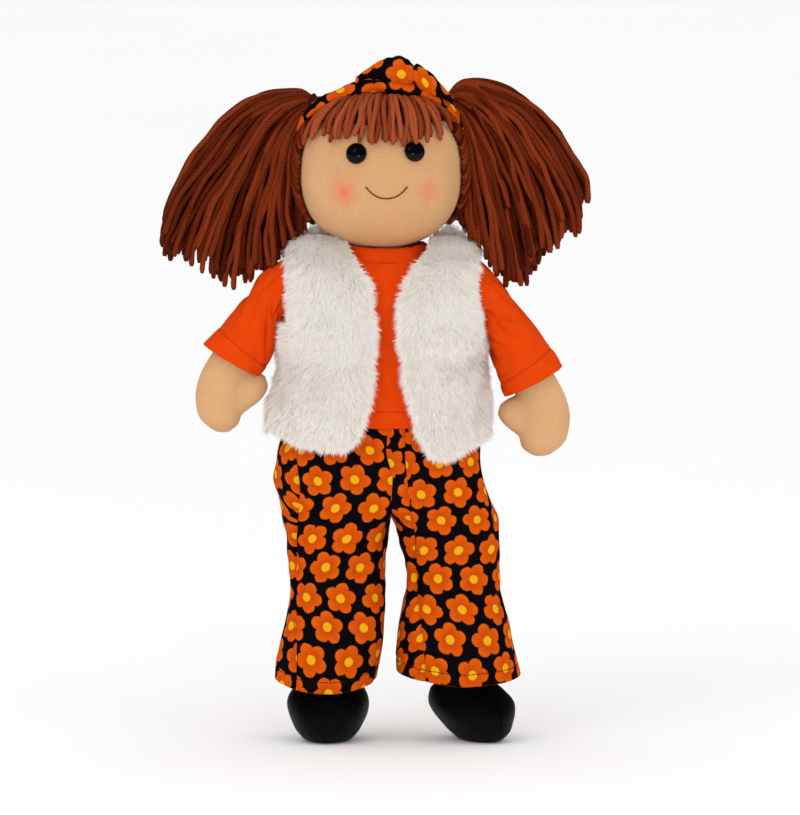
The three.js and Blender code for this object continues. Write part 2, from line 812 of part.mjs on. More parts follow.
function addHair() {
  const coat = headForm(gap + yarnCoat);
  const shell = coat.subtract(headForm(gap));
  const bandSpace = headForm(3 * gap + yarnCoat + bandCloth)
    .intersect(bandSlab(bandWidth / 2 + gap))
    .subtract(headForm(gap + yarnCoat));
  let cap = shell.subtract(inFront(hairFront)).subtract(below(hairBottom));
  for (const side of Object.values(bothSides)) {
    const pivot = bunchPivotAt(side);
    const out = bunchOut(side);
    const foot = pivot.clone().addScaledVector(out, -hornLength);
    const lip = pivot.clone().addScaledVector(out, -hornLip);
    const horn = bar(foot.toArray(), lip.toArray(), hornRadius, rootRadius + hornFlare);
    cap = cap.add(horn.subtract(headForm(gap))).subtract(ball(pivot.toArray(), rootRadius + 2 * gap));
  }
  addPiece(headGroup, "hair_cap", cap.subtract(bandSpace), "yarn");
  const fringe = shell.subtract(behind(hairFront - gap)).subtract(below(fringeBottom));
  addPiece(headGroup, "hair_fringe", fringe, "yarn");
  const band = headForm(2 * gap + yarnCoat + bandCloth)
    .subtract(headForm(2 * gap + yarnCoat))
    .intersect(bandSlab(bandWidth / 2));
  addPiece(headGroup, "headband", band, "print");
}

function addKnot() {
  const bandTopZ = headZ + headHalf[2] + 2 * gap + yarnCoat + bandCloth;
  const geometry = new THREE.SphereGeometry(1, 12, 8);
  geometry.rotateX(Math.PI / 2);
  geometry.scale(...knotHalf);
  geometry.translate(knotX, bandTop[0], bandTopZ + knotHalf[2] - 1.2);
  const knot = toSolid(geometry).subtract(headForm(3 * gap + yarnCoat + bandCloth));
  addPiece(headGroup, "headband_knot", knot, "print");
}

function addBunch(name, side) {
  const pivot = bunchPivotAt(side);
  const group = pivotGroup(headGroup, pivot.x, pivot.y, pivot.z);
  const placed = bunchStations[name].map(([outerX, outerZ, innerX, innerZ, depth]) => [
    pivot.x + side * outerX,
    pivot.z + outerZ,
    pivot.x + side * innerX,
    pivot.z + innerZ,
    depth,
  ]);
  const tieAt = (along) => pivot.clone().addScaledVector(bunchOut(side), along).toArray();
  const tieOuter = rootRadius + tieThickness;
  const tieTo = tieFrom + tieWidth;
  const core = (radius) => bar(tieAt(0), tieAt(tieTo + 3), radius);
  const tie = bar(tieAt(tieFrom), tieAt(tieTo), tieOuter).subtract(core(rootRadius));
  const groove = bar(tieAt(tieFrom - gap), tieAt(tieTo + gap), tieOuter + gap);
  const bunch = between(placed, 0, bunchY)
    .add(ball(pivot.toArray(), rootRadius))
    .subtract(groove.subtract(core(rootRadius - gap)));
  addPiece(group, `hair_bunch_${name}`, bunch, "yarn");
  addPiece(group, `bunch_tie_${name}`, tie, "tie");
}

addTorso();
addShirt();
addSeat();
addVest();
addNeck();
addHead();
for (const [name, spot] of Object.entries(eyeSpots)) addEye(name, spot);
addMouth();
addHair();
addKnot();
for (const [name, side] of Object.entries(bothSides)) {
  addArm(name, side);
  addLeg(name);
  addBunch(name, side);
}

// The origin is under the middle of the doll, on the surface that it stands on.
const bounds = new THREE.Box3().setFromObject(doll, true);
const middle = bounds.getCenter(new THREE.Vector3());
doll.position.set(-middle.x, -middle.y, -bounds.min.z);

export default doll;
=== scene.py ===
import json
import math

import bmesh
import bpy
import numpy as np
from mathutils import Matrix, Vector, noise
from mathutils.kdtree import KDTree


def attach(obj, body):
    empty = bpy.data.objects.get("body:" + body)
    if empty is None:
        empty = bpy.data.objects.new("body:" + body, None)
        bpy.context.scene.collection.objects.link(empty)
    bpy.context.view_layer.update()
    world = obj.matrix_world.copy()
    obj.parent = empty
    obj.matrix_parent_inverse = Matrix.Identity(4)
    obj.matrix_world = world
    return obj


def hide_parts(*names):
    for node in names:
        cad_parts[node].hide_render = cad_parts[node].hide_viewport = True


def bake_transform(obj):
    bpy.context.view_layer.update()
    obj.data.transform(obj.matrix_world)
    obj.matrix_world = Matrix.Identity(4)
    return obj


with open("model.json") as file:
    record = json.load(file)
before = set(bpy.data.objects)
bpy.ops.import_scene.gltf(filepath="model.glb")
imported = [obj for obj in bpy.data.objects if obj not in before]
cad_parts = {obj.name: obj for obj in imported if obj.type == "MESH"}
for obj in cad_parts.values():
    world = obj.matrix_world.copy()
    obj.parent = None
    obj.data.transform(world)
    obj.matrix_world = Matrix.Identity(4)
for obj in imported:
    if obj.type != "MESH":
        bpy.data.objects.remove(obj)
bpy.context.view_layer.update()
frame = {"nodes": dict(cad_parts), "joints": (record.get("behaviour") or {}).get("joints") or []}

# A stuffed rag doll in a T-shirt, flowered trousers and a fur vest, with yarn hair in two bunches.
# Lengths are in millimetres and heights above the floor, in the doll's own coordinates: its neck
# seam is at NECK_SEAM. SHIFT takes them to the frame, where the doll's box is centred.
NECK_SEAM = np.array([-2.0, 0.0, 249.0])
neck_turn = next(joint for joint in frame["joints"] if joint["name"] == "neck_turn")
SHIFT = np.array(neck_turn["pos_m"]) * 1000 - NECK_SEAM
SIDES = {"right": -1, "left": 1}

# Body
BODY_X = -3.0
HEAD_MIDDLE = np.array([-3.6, 0.0, 293.0])
HEAD_HALF = np.array([42.0, 37.0, 39.5])
HEAD_POWER = 2.3
NOD_Z = 262.0
NECK_BALL = 13.0
NECK_RADIUS = 9.2
SHOULDER_Z = 232.0
SHOULDER_HALF = 44.4
ARM_ROOT = 9.6
HIP_Z = 118.5
HIP_RADIUS = 21.0
ANKLE_Z = 27.0
HIP_X = {"right": -26.6, "left": 31.4}
ANKLE_X = {"right": -30.0, "left": 39.5}
TOE_OUT = {"right": -6.0, "left": 33.0}

# Face
FACE_SHIFT = 2.3
EYE_SPACING = 29.2
EYE_RISE = 12.6
EYE_RADIUS = 5.2
EYE_HEIGHT = 4.3
MOUTH_HALF = 10.7
MOUTH_RISE = 6.3
MOUTH_DROP = 10.2
BLUSH_SHIFT = 3.7
BLUSH_X = 22.9
BLUSH_Y = -33.0
BLUSH_Z = 284.9
BLUSH_RADIUS = 10.8

# Clothes
JERSEY = 1.6
TWILL = 1.8
CLEARANCE = 0.35
SHIRT_HEM = 163.3
SHIRT_HEM_STITCH = 172.0
TROUSER_TOP = 179.0
SLEEVE_HEM = 8.7
FUR_LENGTH = 6.4

# Hair
YARN_COAT = 3.9
YARN_RADIUS = 1.45
BAND_TILT = math.radians(31)
BAND_WIDTH = 10.0
BAND_CLOTH = 2.4
KNOT_X = 3.8
BUNCH_PIVOT = {side: np.array([-3.6 + sign * 35.5, 9.0, 327.2]) for side, sign in SIDES.items()}
BUNCH_OUT = {side: np.array([sign * 0.72, 0.0, 0.694]) for side, sign in SIDES.items()}


# Curves and grids of points

def smoothstep(low, high, value):
    t = np.clip((value - low) / (high - low), 0, 1)
    return t * t * (3 - 2 * t)


def bump(value, half):
    """A rounded ridge: 1 where a value is 0, and near 0 beyond about twice its half width."""
    return np.exp(-(value / half) ** 2)


def spline(keys, values, at):
    """A smooth curve through values, which stand at keys, read at other places."""
    keys = np.asarray(keys, float)
    values = np.asarray(values, float)
    at = np.asarray(at, float)
    slopes = np.gradient(values, keys, axis=0)
    cell = np.clip(np.searchsorted(keys, at, side="right") - 1, 0, len(keys) - 2)
    width = keys[cell + 1] - keys[cell]
    t = (at - keys[cell]) / width
    if values.ndim > 1:
        t = t[:, None]
        width = width[:, None]
    start = (1 + 2 * t) * (1 - t) ** 2 * values[cell] + t * (1 - t) ** 2 * width * slopes[cell]
    end = t * t * (3 - 2 * t) * values[cell + 1] + t * t * (t - 1) * width * slopes[cell + 1]
    return start + end


def run_along(points):
    """The way from a line's first point to each of its points."""
    return np.concatenate([[0], np.cumsum(np.linalg.norm(np.diff(points, axis=0), axis=1))])


def read_at(at, keys, rows):
    """Rows of numbers that stand at keys, read between them."""
    return np.stack([np.interp(at, keys, column) for column in np.asarray(rows).T], axis=-1)


def path_through(points, count):
    """Evenly spaced points on a smooth curve through a few."""
    points = np.asarray(points, float)
    keys = run_along(points)
    dense = spline(keys, points, np.linspace(0, keys[-1], 8 * count))
    run = run_along(dense)
    return read_at(np.linspace(0, run[-1], count), run, dense)


def turns(count):
    return np.linspace(0, 2 * math.pi, count, endpoint=False)


def ovals(middle_x, middle_y, heights, half_x, half_y, columns):
    """Level ovals, one above the other."""
    turn = turns(columns)
    rings = np.empty((len(half_x), columns, 3))
    rings[..., 0] = np.reshape(middle_x, (-1, 1)) + np.outer(half_x, np.cos(turn))
    rings[..., 1] = np.reshape(middle_y, (-1, 1)) + np.outer(half_y, np.sin(turn))
    rings[..., 2] = np.reshape(heights, (-1, 1))
    return rings


def upright(rings):
    """Level ovals laid so that they stand one beside the other along X, with their x along Y."""
    return rings[..., [2, 0, 1]]


def level_rings(levels, heights, columns):
    """Level ovals at the given heights, from rows of height, half width, half depth, middle x and y."""
    rows = np.array([list(level) + [0] * (5 - len(level)) for level in levels], float)
    half_x, half_y, x, y = spline(rows[:, 0], rows[:, 1:], heights).T
    return ovals(x, y, heights, half_x, half_y, columns)


def limb_rings(stations, count, columns):
    """Ovals across a limb in the doll's plane: one edge's x and z, the other's, and the half depth."""
    stations = np.asarray(stations, float)
    run = run_along((stations[:, :2] + stations[:, 2:4]) / 2)
    rows = spline(run, stations, np.linspace(0, run[-1], count))
    outer, inner, deep = rows[:, None, :2], rows[:, None, 2:4], rows[:, 4]
    turn = turns(columns)
    flat = (outer + inner) / 2 + np.cos(turn)[None, :, None] * (outer - inner) / 2
    return np.stack([flat[..., 0], np.outer(deep, np.sin(turn)), flat[..., 1]], axis=2)


def ring_normals(rings):
    """The way out of each point of closed rings."""
    across = np.roll(rings, -1, 1) - np.roll(rings, 1, 1)
    along = np.gradient(rings, axis=0)
    normals = np.cross(across, along)
    normals /= np.maximum(np.linalg.norm(normals, axis=2, keepdims=True), 1e-9)
    middle = rings.mean(axis=1, keepdims=True)
    if ((rings - middle) * normals).sum() < 0:
        normals = -normals
    return normals


def ripple(points, size, seed):
    """A smooth random value from about -1 to 1 at each point, changing over the given size."""
    flat = np.asarray(points).reshape(-1, 3) / size
    values = [noise.noise(Vector(point) + Vector((seed * 7.3, seed * 3.1, 0))) for point in flat]
    return np.array(values).reshape(np.asarray(points).shape[:-1]) * 1.6


# How uneven the pieces are: the size of their swellings, a random seed and their height
UNEVEN = {
    "head": (16, 1, 0.3),
    "leg": (20, 4, 0.25),
    "shoe": (13, 6, 0.42),
    "neckband height": (9, 15, 0.2),
    "neckband": (2.6, 16, 0.3),
    "shoulder": (9, 17, 0.35),
    "vest": (24, 51, 0.7),
    "headband": (4.5, 71, 0.55),
    "knot": (4, 73, 0.09),
}


def uneven(points, kind):
    """How far each point of a piece stands off its even shape."""
    size, seed, height = UNEVEN[kind]
    return ripple(points, size, seed) * height


def pushed(rings, out):
    """Closed rings with each point moved out by an amount of its own."""
    return rings + ring_normals(rings) * np.broadcast_to(out, rings.shape[:2])[..., None]


def cloth_wall(rings, thickness):
    """Closed rings of a cloth tube: up the outside, over the rounded rim and down the inside."""
    inside = rings - ring_normals(rings) * thickness
    top_rim = (rings[-1] + inside[-1]) / 2 + (rings[-1] - rings[-2]) * 0.25
    low_rim = (rings[0] + inside[0]) / 2 + (rings[0] - rings[1]) * 0.25
    return np.concatenate([rings, top_rim[None], inside[::-1], low_rim[None]])


# Meshes

def add_object(name, data):
    """A new object in the scene."""
    thing = bpy.data.objects.new(name, data)
    bpy.context.scene.collection.objects.link(thing)
    return thing


def make_piece(name, points, faces, material, uvs=None):
    """A smooth mesh piece from points in millimetres, with its place in the frame in its mesh."""
    mesh = bpy.data.meshes.new(name)
    mesh.from_pydata(((np.asarray(points, float) + SHIFT) / 1000).tolist(), [], faces)
    if uvs is not None:
        layer = mesh.uv_layers.new(name="cloth")
        layer.data.foreach_set("uv", np.asarray(uvs, np.float32).ravel())
    mesh.materials.append(material)
    mesh.shade_smooth()
    return add_object(name, mesh)


def face_outwards(piece):
    """The piece with its faces turned outwards, and without points that no face uses."""
    shape = bmesh.new()
    shape.from_mesh(piece.data)
    loose = [vertex for vertex in shape.verts if not vertex.link_faces]
    bmesh.ops.delete(shape, geom=loose, context="VERTS")
    bmesh.ops.recalc_face_normals(shape, faces=shape.faces)
    shape.to_mesh(piece.data)
    shape.free()
    return piece


def grid_faces(rows, columns):
    """The four corners of each face between rows of points that close round."""
    low = np.arange(rows - 1)[:, None] * columns + np.arange(columns)
    beside = np.arange(rows - 1)[:, None] * columns + (np.arange(columns) + 1) % columns
    return np.stack([low, beside, beside + columns, low + columns], axis=-1).reshape(-1, 4)


def cloth_uvs(rings, seam, middle):
    """Distance round each ring, broken at the seam column and zero at the middle one, and height."""
    columns = rings.shape[1]
    turned = np.roll(rings, -seam, axis=1)
    steps = np.linalg.norm(np.roll(turned, -1, 1) - turned, axis=2)
    around = np.concatenate([np.zeros((len(rings), 1)), np.cumsum(steps, axis=1)], axis=1)
    around -= around[:, [(middle - seam) % columns]]
    run = run_along(rings.mean(axis=1))
    return np.stack([around, np.repeat(run[:, None], columns + 1, axis=1)], axis=2)


def loft(name, rings, material, tube=False, seam=0, middle=0, moved=(0, 0)):
    """A skin over closed rings. Poles close its ends, or a tube's last ring joins its first.
    The cloth coordinates can be moved, so that two panels don't show the same flowers."""
    rows, columns, _ = rings.shape
    order = (np.arange(columns + 1) + seam) % columns
    low = np.arange(rows if tube else rows - 1)
    high = (low + 1) % rows
    corners = [(low, order[:-1]), (low, order[1:]), (high, order[1:]), (high, order[:-1])]
    faces = np.stack([row[:, None] * columns + column for row, column in corners], axis=-1)
    grid = cloth_uvs(rings, seam, middle)
    step = np.arange(columns)
    uvs = np.stack([grid[low][:, step], grid[low][:, step + 1],
                    grid[high][:, step + 1], grid[high][:, step]], axis=2)
    faces = faces.reshape(-1, 4).tolist()
    uvs = (uvs + np.array(moved)).reshape(-1, 2)
    points = rings.reshape(-1, 3)
    if not tube:
        points = np.vstack([points, rings[0].mean(axis=0), rings[-1].mean(axis=0)])
        low_pole, high_pole = len(points) - 2, len(points) - 1
        top = (rows - 1) * columns
        for column in range(columns):
            beside = (column + 1) % columns
            faces.append((low_pole, beside, column))
            faces.append((high_pole, top + column, top + beside))
        uvs = np.vstack([uvs, np.zeros((6 * columns, 2))])
    return face_outwards(make_piece(name, points, faces, material, uvs))


def joined(name, pieces):
    """One piece from several with the same material."""
    shape = bmesh.new()
    for piece in pieces:
        shape.from_mesh(piece.data)
    mesh = pieces[0].data.copy()
    shape.to_mesh(mesh)
    shape.free()
    for piece in pieces:
        bpy.data.objects.remove(piece)
    return add_object(name, mesh)


def settled(piece):
    """The piece as its modifiers leave it, as a plain mesh."""
    seen = piece.evaluated_get(bpy.context.evaluated_depsgraph_get())
    mesh = bpy.data.meshes.new_from_object(seen)
    piece.modifiers.clear()
    piece.data = mesh
    return piece


def thickened(piece, thickness):
    """A sheet with a wall that grows inwards."""
    wall = piece.modifiers.new("wall", "SOLIDIFY")
    wall.thickness = thickness / 1000
    wall.offset = -1
    return face_outwards(settled(piece))


def finish_piece(piece, body, slot, *nodes, fill=None):
    """Hangs a finished piece on its body and hides the solids that it stands for. The slot, its finish, is
    not used.
    """
    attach(piece, body)
    if nodes:
        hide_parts(*nodes)
    return piece


# Materials. Object coordinates are metres, and cloth coordinates are millimetres.

class Nodes:
    """A node tree, with short ways to add to it."""

    def __init__(self, tree):
        self.tree = tree

    def add(self, kind, inputs=(), **settings):
        node = self.tree.nodes.new(kind)
        for key, value in settings.items():
            setattr(node, key, value)
        for key, value in dict(inputs).items():
            if isinstance(value, bpy.types.NodeSocket):
                self.tree.links.new(value, node.inputs[key])
            else:
                node.inputs[key].default_value = value
        return node

    def maths(self, operation, *values):
        return self.add("ShaderNodeMath", dict(enumerate(values)), operation=operation).outputs[0]

    def vector(self, operation, *values, output=0):
        node = self.add("ShaderNodeVectorMath", dict(enumerate(values)), operation=operation)
        return node.outputs[output]

    def parts(self, vector):
        return self.add("ShaderNodeSeparateXYZ", {0: vector}).outputs

    def wave(self, value, length):
        """A wave from -1 to 1 of the given length."""
        return self.maths("SINE", self.maths("MULTIPLY", value, 2 * math.pi / length))


class Finish(Nodes):
    """A material, with short ways to build what it looks like."""

    def __init__(self, name, **settings):
        self.material = bpy.data.materials.new(name)
        self.material.use_nodes = True
        super().__init__(self.material.node_tree)
        self.surface = self.tree.nodes["Principled BSDF"]
        for key, value in settings.items():
            self.surface.inputs[key.replace("_", " ")].default_value = value

    def place(self):
        return self.add("ShaderNodeTexCoord").outputs["Object"]

    def cloth_place(self):
        return self.add("ShaderNodeUVMap", uv_map="cloth").outputs["UV"]

    def noise(self, vector, scale, detail=2.0, roughness=0.5):
        inputs = {"Vector": vector, "Scale": scale, "Detail": detail, "Roughness": roughness}
        return self.add("ShaderNodeTexNoise", inputs).outputs[0]

    def between(self, value, from_low, from_high, to_low=0.0, to_high=1.0):
        limits = {"From Min": from_low, "From Max": from_high, "To Min": to_low, "To Max": to_high}
        return self.add("ShaderNodeMapRange", {"Value": value, **limits}).outputs[0]

    def patches(self, vector, scale, share=1.0, detail=2.0):
        """Soft spots, from 0 to a share."""
        return self.between(self.noise(vector, scale, detail), 0.3, 0.7, 0.0, share)

    def mix(self, share, first, second, blend="MIX"):
        node = self.add("ShaderNodeMix", data_type="RGBA", blend_type=blend)
        for socket, value in zip((node.inputs[0], node.inputs[6], node.inputs[7]), (share, first, second)):
            if isinstance(value, bpy.types.NodeSocket):
                self.tree.links.new(value, socket)
            else:
                socket.default_value = value if socket == node.inputs[0] else (*value, 1)
        return node.outputs[2]

    def colour(self, socket):
        self.tree.links.new(socket, self.surface.inputs["Base Color"])

    def bump(self, height, distance, strength):
        """Relief of a height from 0 to 1 times a distance in metres."""
        node = self.add("ShaderNodeBump", {"Height": height, "Distance": distance, "Strength": strength})
        self.tree.links.new(node.outputs[0], self.surface.inputs["Normal"])

    def let_light_through(self, share, tint):
        """Mixes in light that passes the cloth, as through thin fibres."""
        through = self.add("ShaderNodeBsdfTranslucent", {"Color": (*tint, 1)})
        both = self.add("ShaderNodeMixShader", {0: share, 1: self.surface.outputs[0], 2: through.outputs[0]})
        self.tree.links.new(both.outputs[0], self.tree.nodes["Material Output"].inputs["Surface"])


def threads(finish, place, pitch):
    """Height of a plain weave or fine knit: two sets of threads that cross."""
    first, second, third = (finish.wave(part, pitch) for part in finish.parts(place))
    return finish.maths("MULTIPLY", finish.maths("ADD", first, second), finish.maths("ADD", third, 0.5))


SKIN_COLOUR = (0.66, 0.378, 0.184)
SKIN_SHADE = (0.60, 0.322, 0.148)
SKIN_FLECK = (0.86, 0.55, 0.31)
SKIN_PITCH = 0.00055
BLUSH_COLOUR = (0.74, 0.165, 0.095)


def skin_cloth(name, blush=False):
    finish = Finish(name, Roughness=0.85, Sheen_Weight=0.06, Sheen_Roughness=0.5, Specular_IOR_Level=0.1)
    place = finish.place()
    blotch = finish.noise(place, 28, detail=3)
    warmth = (0.95, 0.91, 0.89) if blush else (1.0, 1.0, 1.0)
    shade, clear = (tuple(np.multiply(colour, warmth)) for colour in (SKIN_SHADE, SKIN_COLOUR))
    colour = finish.mix(finish.between(blotch, 0.35, 0.7), shade, clear)
    colour = finish.mix(finish.patches(place, 900, 0.16), colour, SKIN_FLECK)
    if blush:
        for sign in SIDES.values():
            out = np.array([BLUSH_SHIFT + sign * BLUSH_X, BLUSH_Y, BLUSH_Z - HEAD_MIDDLE[2]])
            spot = HEAD_MIDDLE + SHIFT + out
            away = finish.vector("DISTANCE", place, tuple(spot / 1000), output=1)
            soft = finish.maths("POWER", finish.between(away, BLUSH_RADIUS / 1000, 0.001), 1.5)
            patchy = finish.between(finish.noise(place, 300), 0.3, 0.7, 0.75, 1.0)
            colour = finish.mix(finish.maths("MULTIPLY", soft, patchy), colour, BLUSH_COLOUR)
    finish.colour(colour)
    height = finish.maths("ADD", threads(finish, place, SKIN_PITCH), finish.noise(place, 2200))
    finish.bump(height, 0.00012, 0.35)
    return finish.material


def eye_gloss():
    finish = Finish("eye_black", Roughness=0.07, Specular_IOR_Level=0.11)
    place = finish.place()
    haze = finish.noise(place, 700, detail=3)
    finish.colour(finish.mix(finish.between(haze, 0.45, 0.8), (0.001, 0.001, 0.0012), (0.003, 0.003, 0.004)))
    finish.bump(finish.noise(place, 1600), 0.00001, 0.3)
    return finish.material


def thread_finish(name, dark, light):
    finish = Finish(name, Roughness=0.7, Specular_IOR_Level=0.15)
    place = finish.place()
    finish.colour(finish.mix(finish.noise(place, 2500), dark, light))
    finish.bump(threads(finish, place, 0.0004), 0.00008, 0.6)
    return finish.material


YARN_PITCH = 8.5
YARN_PLIES = 4
YARN_FIBRES = 11


def yarn_finish(name, dark, mid, light):
    """Plied yarn: cloth coordinates are a share of the way round and millimetres along."""
    finish = Finish(name, Roughness=0.6, Specular_IOR_Level=0.03)
    place = finish.place()
    around, along, _ = finish.parts(finish.cloth_place())
    lay = finish.maths("SUBTRACT", around, finish.maths("DIVIDE", along, YARN_PITCH))
    ply = finish.maths("COSINE", finish.maths("MULTIPLY", lay, YARN_PLIES * 2 * math.pi))
    slant = finish.maths("MULTIPLY", around, YARN_FIBRES * 2 * math.pi)
    fibre = finish.maths("COSINE", finish.maths("MULTIPLY_ADD", along, 5.2, slant))
    fuzz = finish.noise(place, 1500, detail=3, roughness=0.6)
    # each strand's value mixes it from the mid to the light colour: at random, and lower on the bunches'
    # inner strands as painted shade
    tone_and_shade = finish.add("ShaderNodeAttribute", attribute_name="tone_and_shade").outputs["Fac"]
    share = finish.maths("MULTIPLY_ADD", tone_and_shade, 0.75, finish.maths("MULTIPLY", fuzz, 0.35))
    colour = finish.mix(finish.between(share, 0.15, 0.8), mid, light)
    # painted shade: where the plies meet, the colour is pulled towards the dark colour, as shade in the
    # grooves between them
    groove = finish.between(ply, -1.0, 0.1, 1.0, 0.0)
    colour = finish.mix(finish.maths("MULTIPLY", groove, 0.3), colour, dark)
    finish.colour(finish.mix(finish.between(fibre, 0.2, 1.0, 0.0, 0.15), colour, dark))
    fine = finish.maths("MULTIPLY_ADD", fibre, 0.25, fuzz)
    finish.bump(finish.maths("MULTIPLY_ADD", ply, 0.5, fine), 0.00035, 0.8)
    return finish.material


FLOWER_ACROSS = 19.0
FLOWER_UP = 15.4
FLOWER_JITTER = (1.6, 1.6, 0)
PETALS = 5
PETAL_OUT = 4.8
PETAL_RADIUS = 3.35
FLOWER_HEART = 4.3
FLOWER_CENTRE = 2.25


def flower_group():
    """One grid of flowers: how far each place is outside the petals, and outside the centres."""
    tree = bpy.data.node_groups.new("flower grid", "ShaderNodeTree")
    for name, in_out, kind in (("Place", "INPUT", "Vector"), ("Start", "INPUT", "Vector"),
                               ("Petals", "OUTPUT", "Float"), ("Centre", "OUTPUT", "Float")):
        tree.interface.new_socket(name, in_out=in_out, socket_type=f"NodeSocket{kind}")
    nodes = Nodes(tree)
    number, vector = nodes.maths, nodes.vector
    place, start, *_ = nodes.add("NodeGroupInput").outputs
    cell_size = (FLOWER_ACROSS, 2 * FLOWER_UP, 1)
    spread = vector("ADD", vector("DIVIDE", place, cell_size), start)
    middle = vector("SUBTRACT", vector("FRACTION", spread), (0.5, 0.5, 0))
    seed = vector("ADD", vector("FLOOR", spread), start)
    chance = nodes.add("ShaderNodeTexWhiteNoise", {"Vector": seed}).outputs
    jitter = vector("SUBTRACT", chance["Color"], (0.5, 0.5, 0.5))
    jitter = vector("MULTIPLY", jitter, FLOWER_JITTER)
    local = vector("SUBTRACT", vector("MULTIPLY", middle, cell_size), jitter)
    flat = vector("MULTIPLY", local, (1, 1, 0))
    across, up, _ = nodes.parts(flat)
    turn = number("MULTIPLY_ADD", chance["Value"], 2 * math.pi, number("ARCTAN2", up, across))
    radius = vector("LENGTH", flat, output=1)
    fold = number("WRAP", turn, math.pi / PETALS, -math.pi / PETALS)
    along = number("SUBTRACT", number("MULTIPLY", radius, number("COSINE", fold)), PETAL_OUT)
    aside = number("MULTIPLY", radius, number("SINE", fold))
    squares = number("MULTIPLY_ADD", along, along, number("MULTIPLY", aside, aside))
    petal = number("SUBTRACT", number("SQRT", squares), PETAL_RADIUS)
    heart = number("SUBTRACT", radius, FLOWER_HEART)
    centre = number("SUBTRACT", radius, FLOWER_CENTRE)
    nodes.add("NodeGroupOutput", {0: number("SMOOTH_MIN", petal, heart, 0.9), 1: centre})
    return tree


FLOWER_GROUP = flower_group()
PRINT_GROUND = (0.0030, 0.0025, 0.0034)
PETAL_COLOUR = (0.71, 0.105, 0.0038)
PETAL_SHADE = (0.52, 0.055, 0.0020)
CENTRE_COLOUR = (0.80, 0.40, 0.010)
WEAVE_SHADE = (0.2, 0.16, 0.14)
PRINT_PITCH = 0.45
GRID_STARTS = ((0, 0, 0), (0.5, 0.5, 3.0))


def print_cloth(name):
    """Cotton printed with round five-petal flowers in two half-staggered grids."""
    finish = Finish(name, Roughness=0.85, Specular_IOR_Level=0.02)
    place = finish.cloth_place()
    slow = {"Vector": place, "Scale": 0.35, "Detail": 1.0}
    wobble = finish.add("ShaderNodeTexNoise", slow).outputs["Color"]
    drawn = finish.vector("ADD", place, finish.vector("MULTIPLY", wobble, (0.9, 0.9, 0)))
    grids = [finish.add("ShaderNodeGroup", node_tree=FLOWER_GROUP) for _ in GRID_STARTS]
    for grid, start in zip(grids, GRID_STARTS):
        finish.tree.links.new(drawn, grid.inputs["Place"])
        grid.inputs["Start"].default_value = start
    petals = finish.maths("MINIMUM", *(grid.outputs["Petals"] for grid in grids))
    centre = finish.maths("MINIMUM", *(grid.outputs["Centre"] for grid in grids))
    dye = finish.between(finish.noise(place, 0.22, detail=3), 0.3, 0.7, -0.2, 0.25)
    shading = finish.maths("ADD", finish.between(centre, 0.0, 5.5, 0.85, 0.0), dye)
    petal_colour = finish.mix(shading, PETAL_COLOUR, PETAL_SHADE)
    colour = finish.mix(finish.between(petals, 0.22, -0.22), PRINT_GROUND, petal_colour)
    colour = finish.mix(finish.between(centre, 0.2, -0.2), colour, CENTRE_COLOUR)
    weave = threads(finish, place, PRINT_PITCH)
    shade = finish.between(weave, -1.0, 1.0, 0.0, 0.10)
    finish.colour(finish.mix(shade, colour, WEAVE_SHADE, blend="MULTIPLY"))
    finish.bump(finish.maths("ADD", weave, finish.noise(place, 1.6)), 0.0001, 0.4)
    return finish.material


JERSEY_COLOURS = ((0.69, 0.051, 0.0025), (0.76, 0.062, 0.0040))
JERSEY_SHADE = (0.50, 0.030, 0.003)
RIB_PITCH = 0.75
LOOP_PITCH = 0.5


def jersey_cloth():
    finish = Finish("jersey_orange", Roughness=0.85, Specular_IOR_Level=0.01)
    place = finish.cloth_place()
    colour = finish.mix(finish.patches(place, 0.12, detail=3), *JERSEY_COLOURS)
    across, up, _ = finish.parts(place)
    loops = finish.maths("MULTIPLY", finish.wave(up, LOOP_PITCH), 0.35)
    knit = finish.maths("MULTIPLY_ADD", finish.wave(across, RIB_PITCH), 0.7, loops)
    finish.colour(finish.mix(finish.between(knit, -1.0, 0.2, 0.22, 0.0), colour, JERSEY_SHADE))
    finish.bump(finish.maths("ADD", knit, finish.noise(place, 2.4)), 0.00012, 0.45)
    return finish.material


def fur_finish(name, low, high, through=0.0):
    """White fibres, which let a share of the light through."""
    finish = Finish(name, Roughness=0.9, Sheen_Weight=0.25, Sheen_Roughness=0.6, Specular_IOR_Level=0.05)
    place = finish.place()
    soft = finish.between(finish.noise(place, 45, detail=3), 0.38, 0.66)
    colour = finish.mix(soft, low, high)
    finish.colour(finish.mix(finish.patches(place, 600, 0.3), colour, FUR_FLECK))
    finish.bump(finish.noise(place, 1300, detail=3), 0.0003, 0.5)
    if through:
        finish.let_light_through(through, FUR_TINT)
    return finish.material


FUR_FLECK = (0.99, 0.975, 0.95)
FUR_TINT = (0.99, 0.97, 0.94)
SHOE_COLOURS = ((0.0006, 0.0005, 0.0006), (0.0018, 0.0014, 0.0017))


def shoe_satin():
    finish = Finish("shoe_satin", Roughness=0.42, Specular_IOR_Level=0.06)
    place = finish.place()
    finish.colour(finish.mix(finish.patches(place, 55, detail=3), *SHOE_COLOURS))
    soft = finish.noise(place, 260, detail=3)
    finish.bump(finish.maths("MULTIPLY_ADD", threads(finish, place, 0.0005), 0.4, soft), 0.0003, 0.45)
    return finish.material


def plain_cloth(name, dark, light, pitch):
    finish = Finish(name, Roughness=0.9, Sheen_Weight=0.15)
    place = finish.place()
    finish.colour(finish.mix(finish.noise(place, 260, detail=3), dark, light))
    height = finish.maths("ADD", threads(finish, place, pitch), finish.noise(place, 1800))
    finish.bump(height, 0.00015, 0.5)
    return finish.material


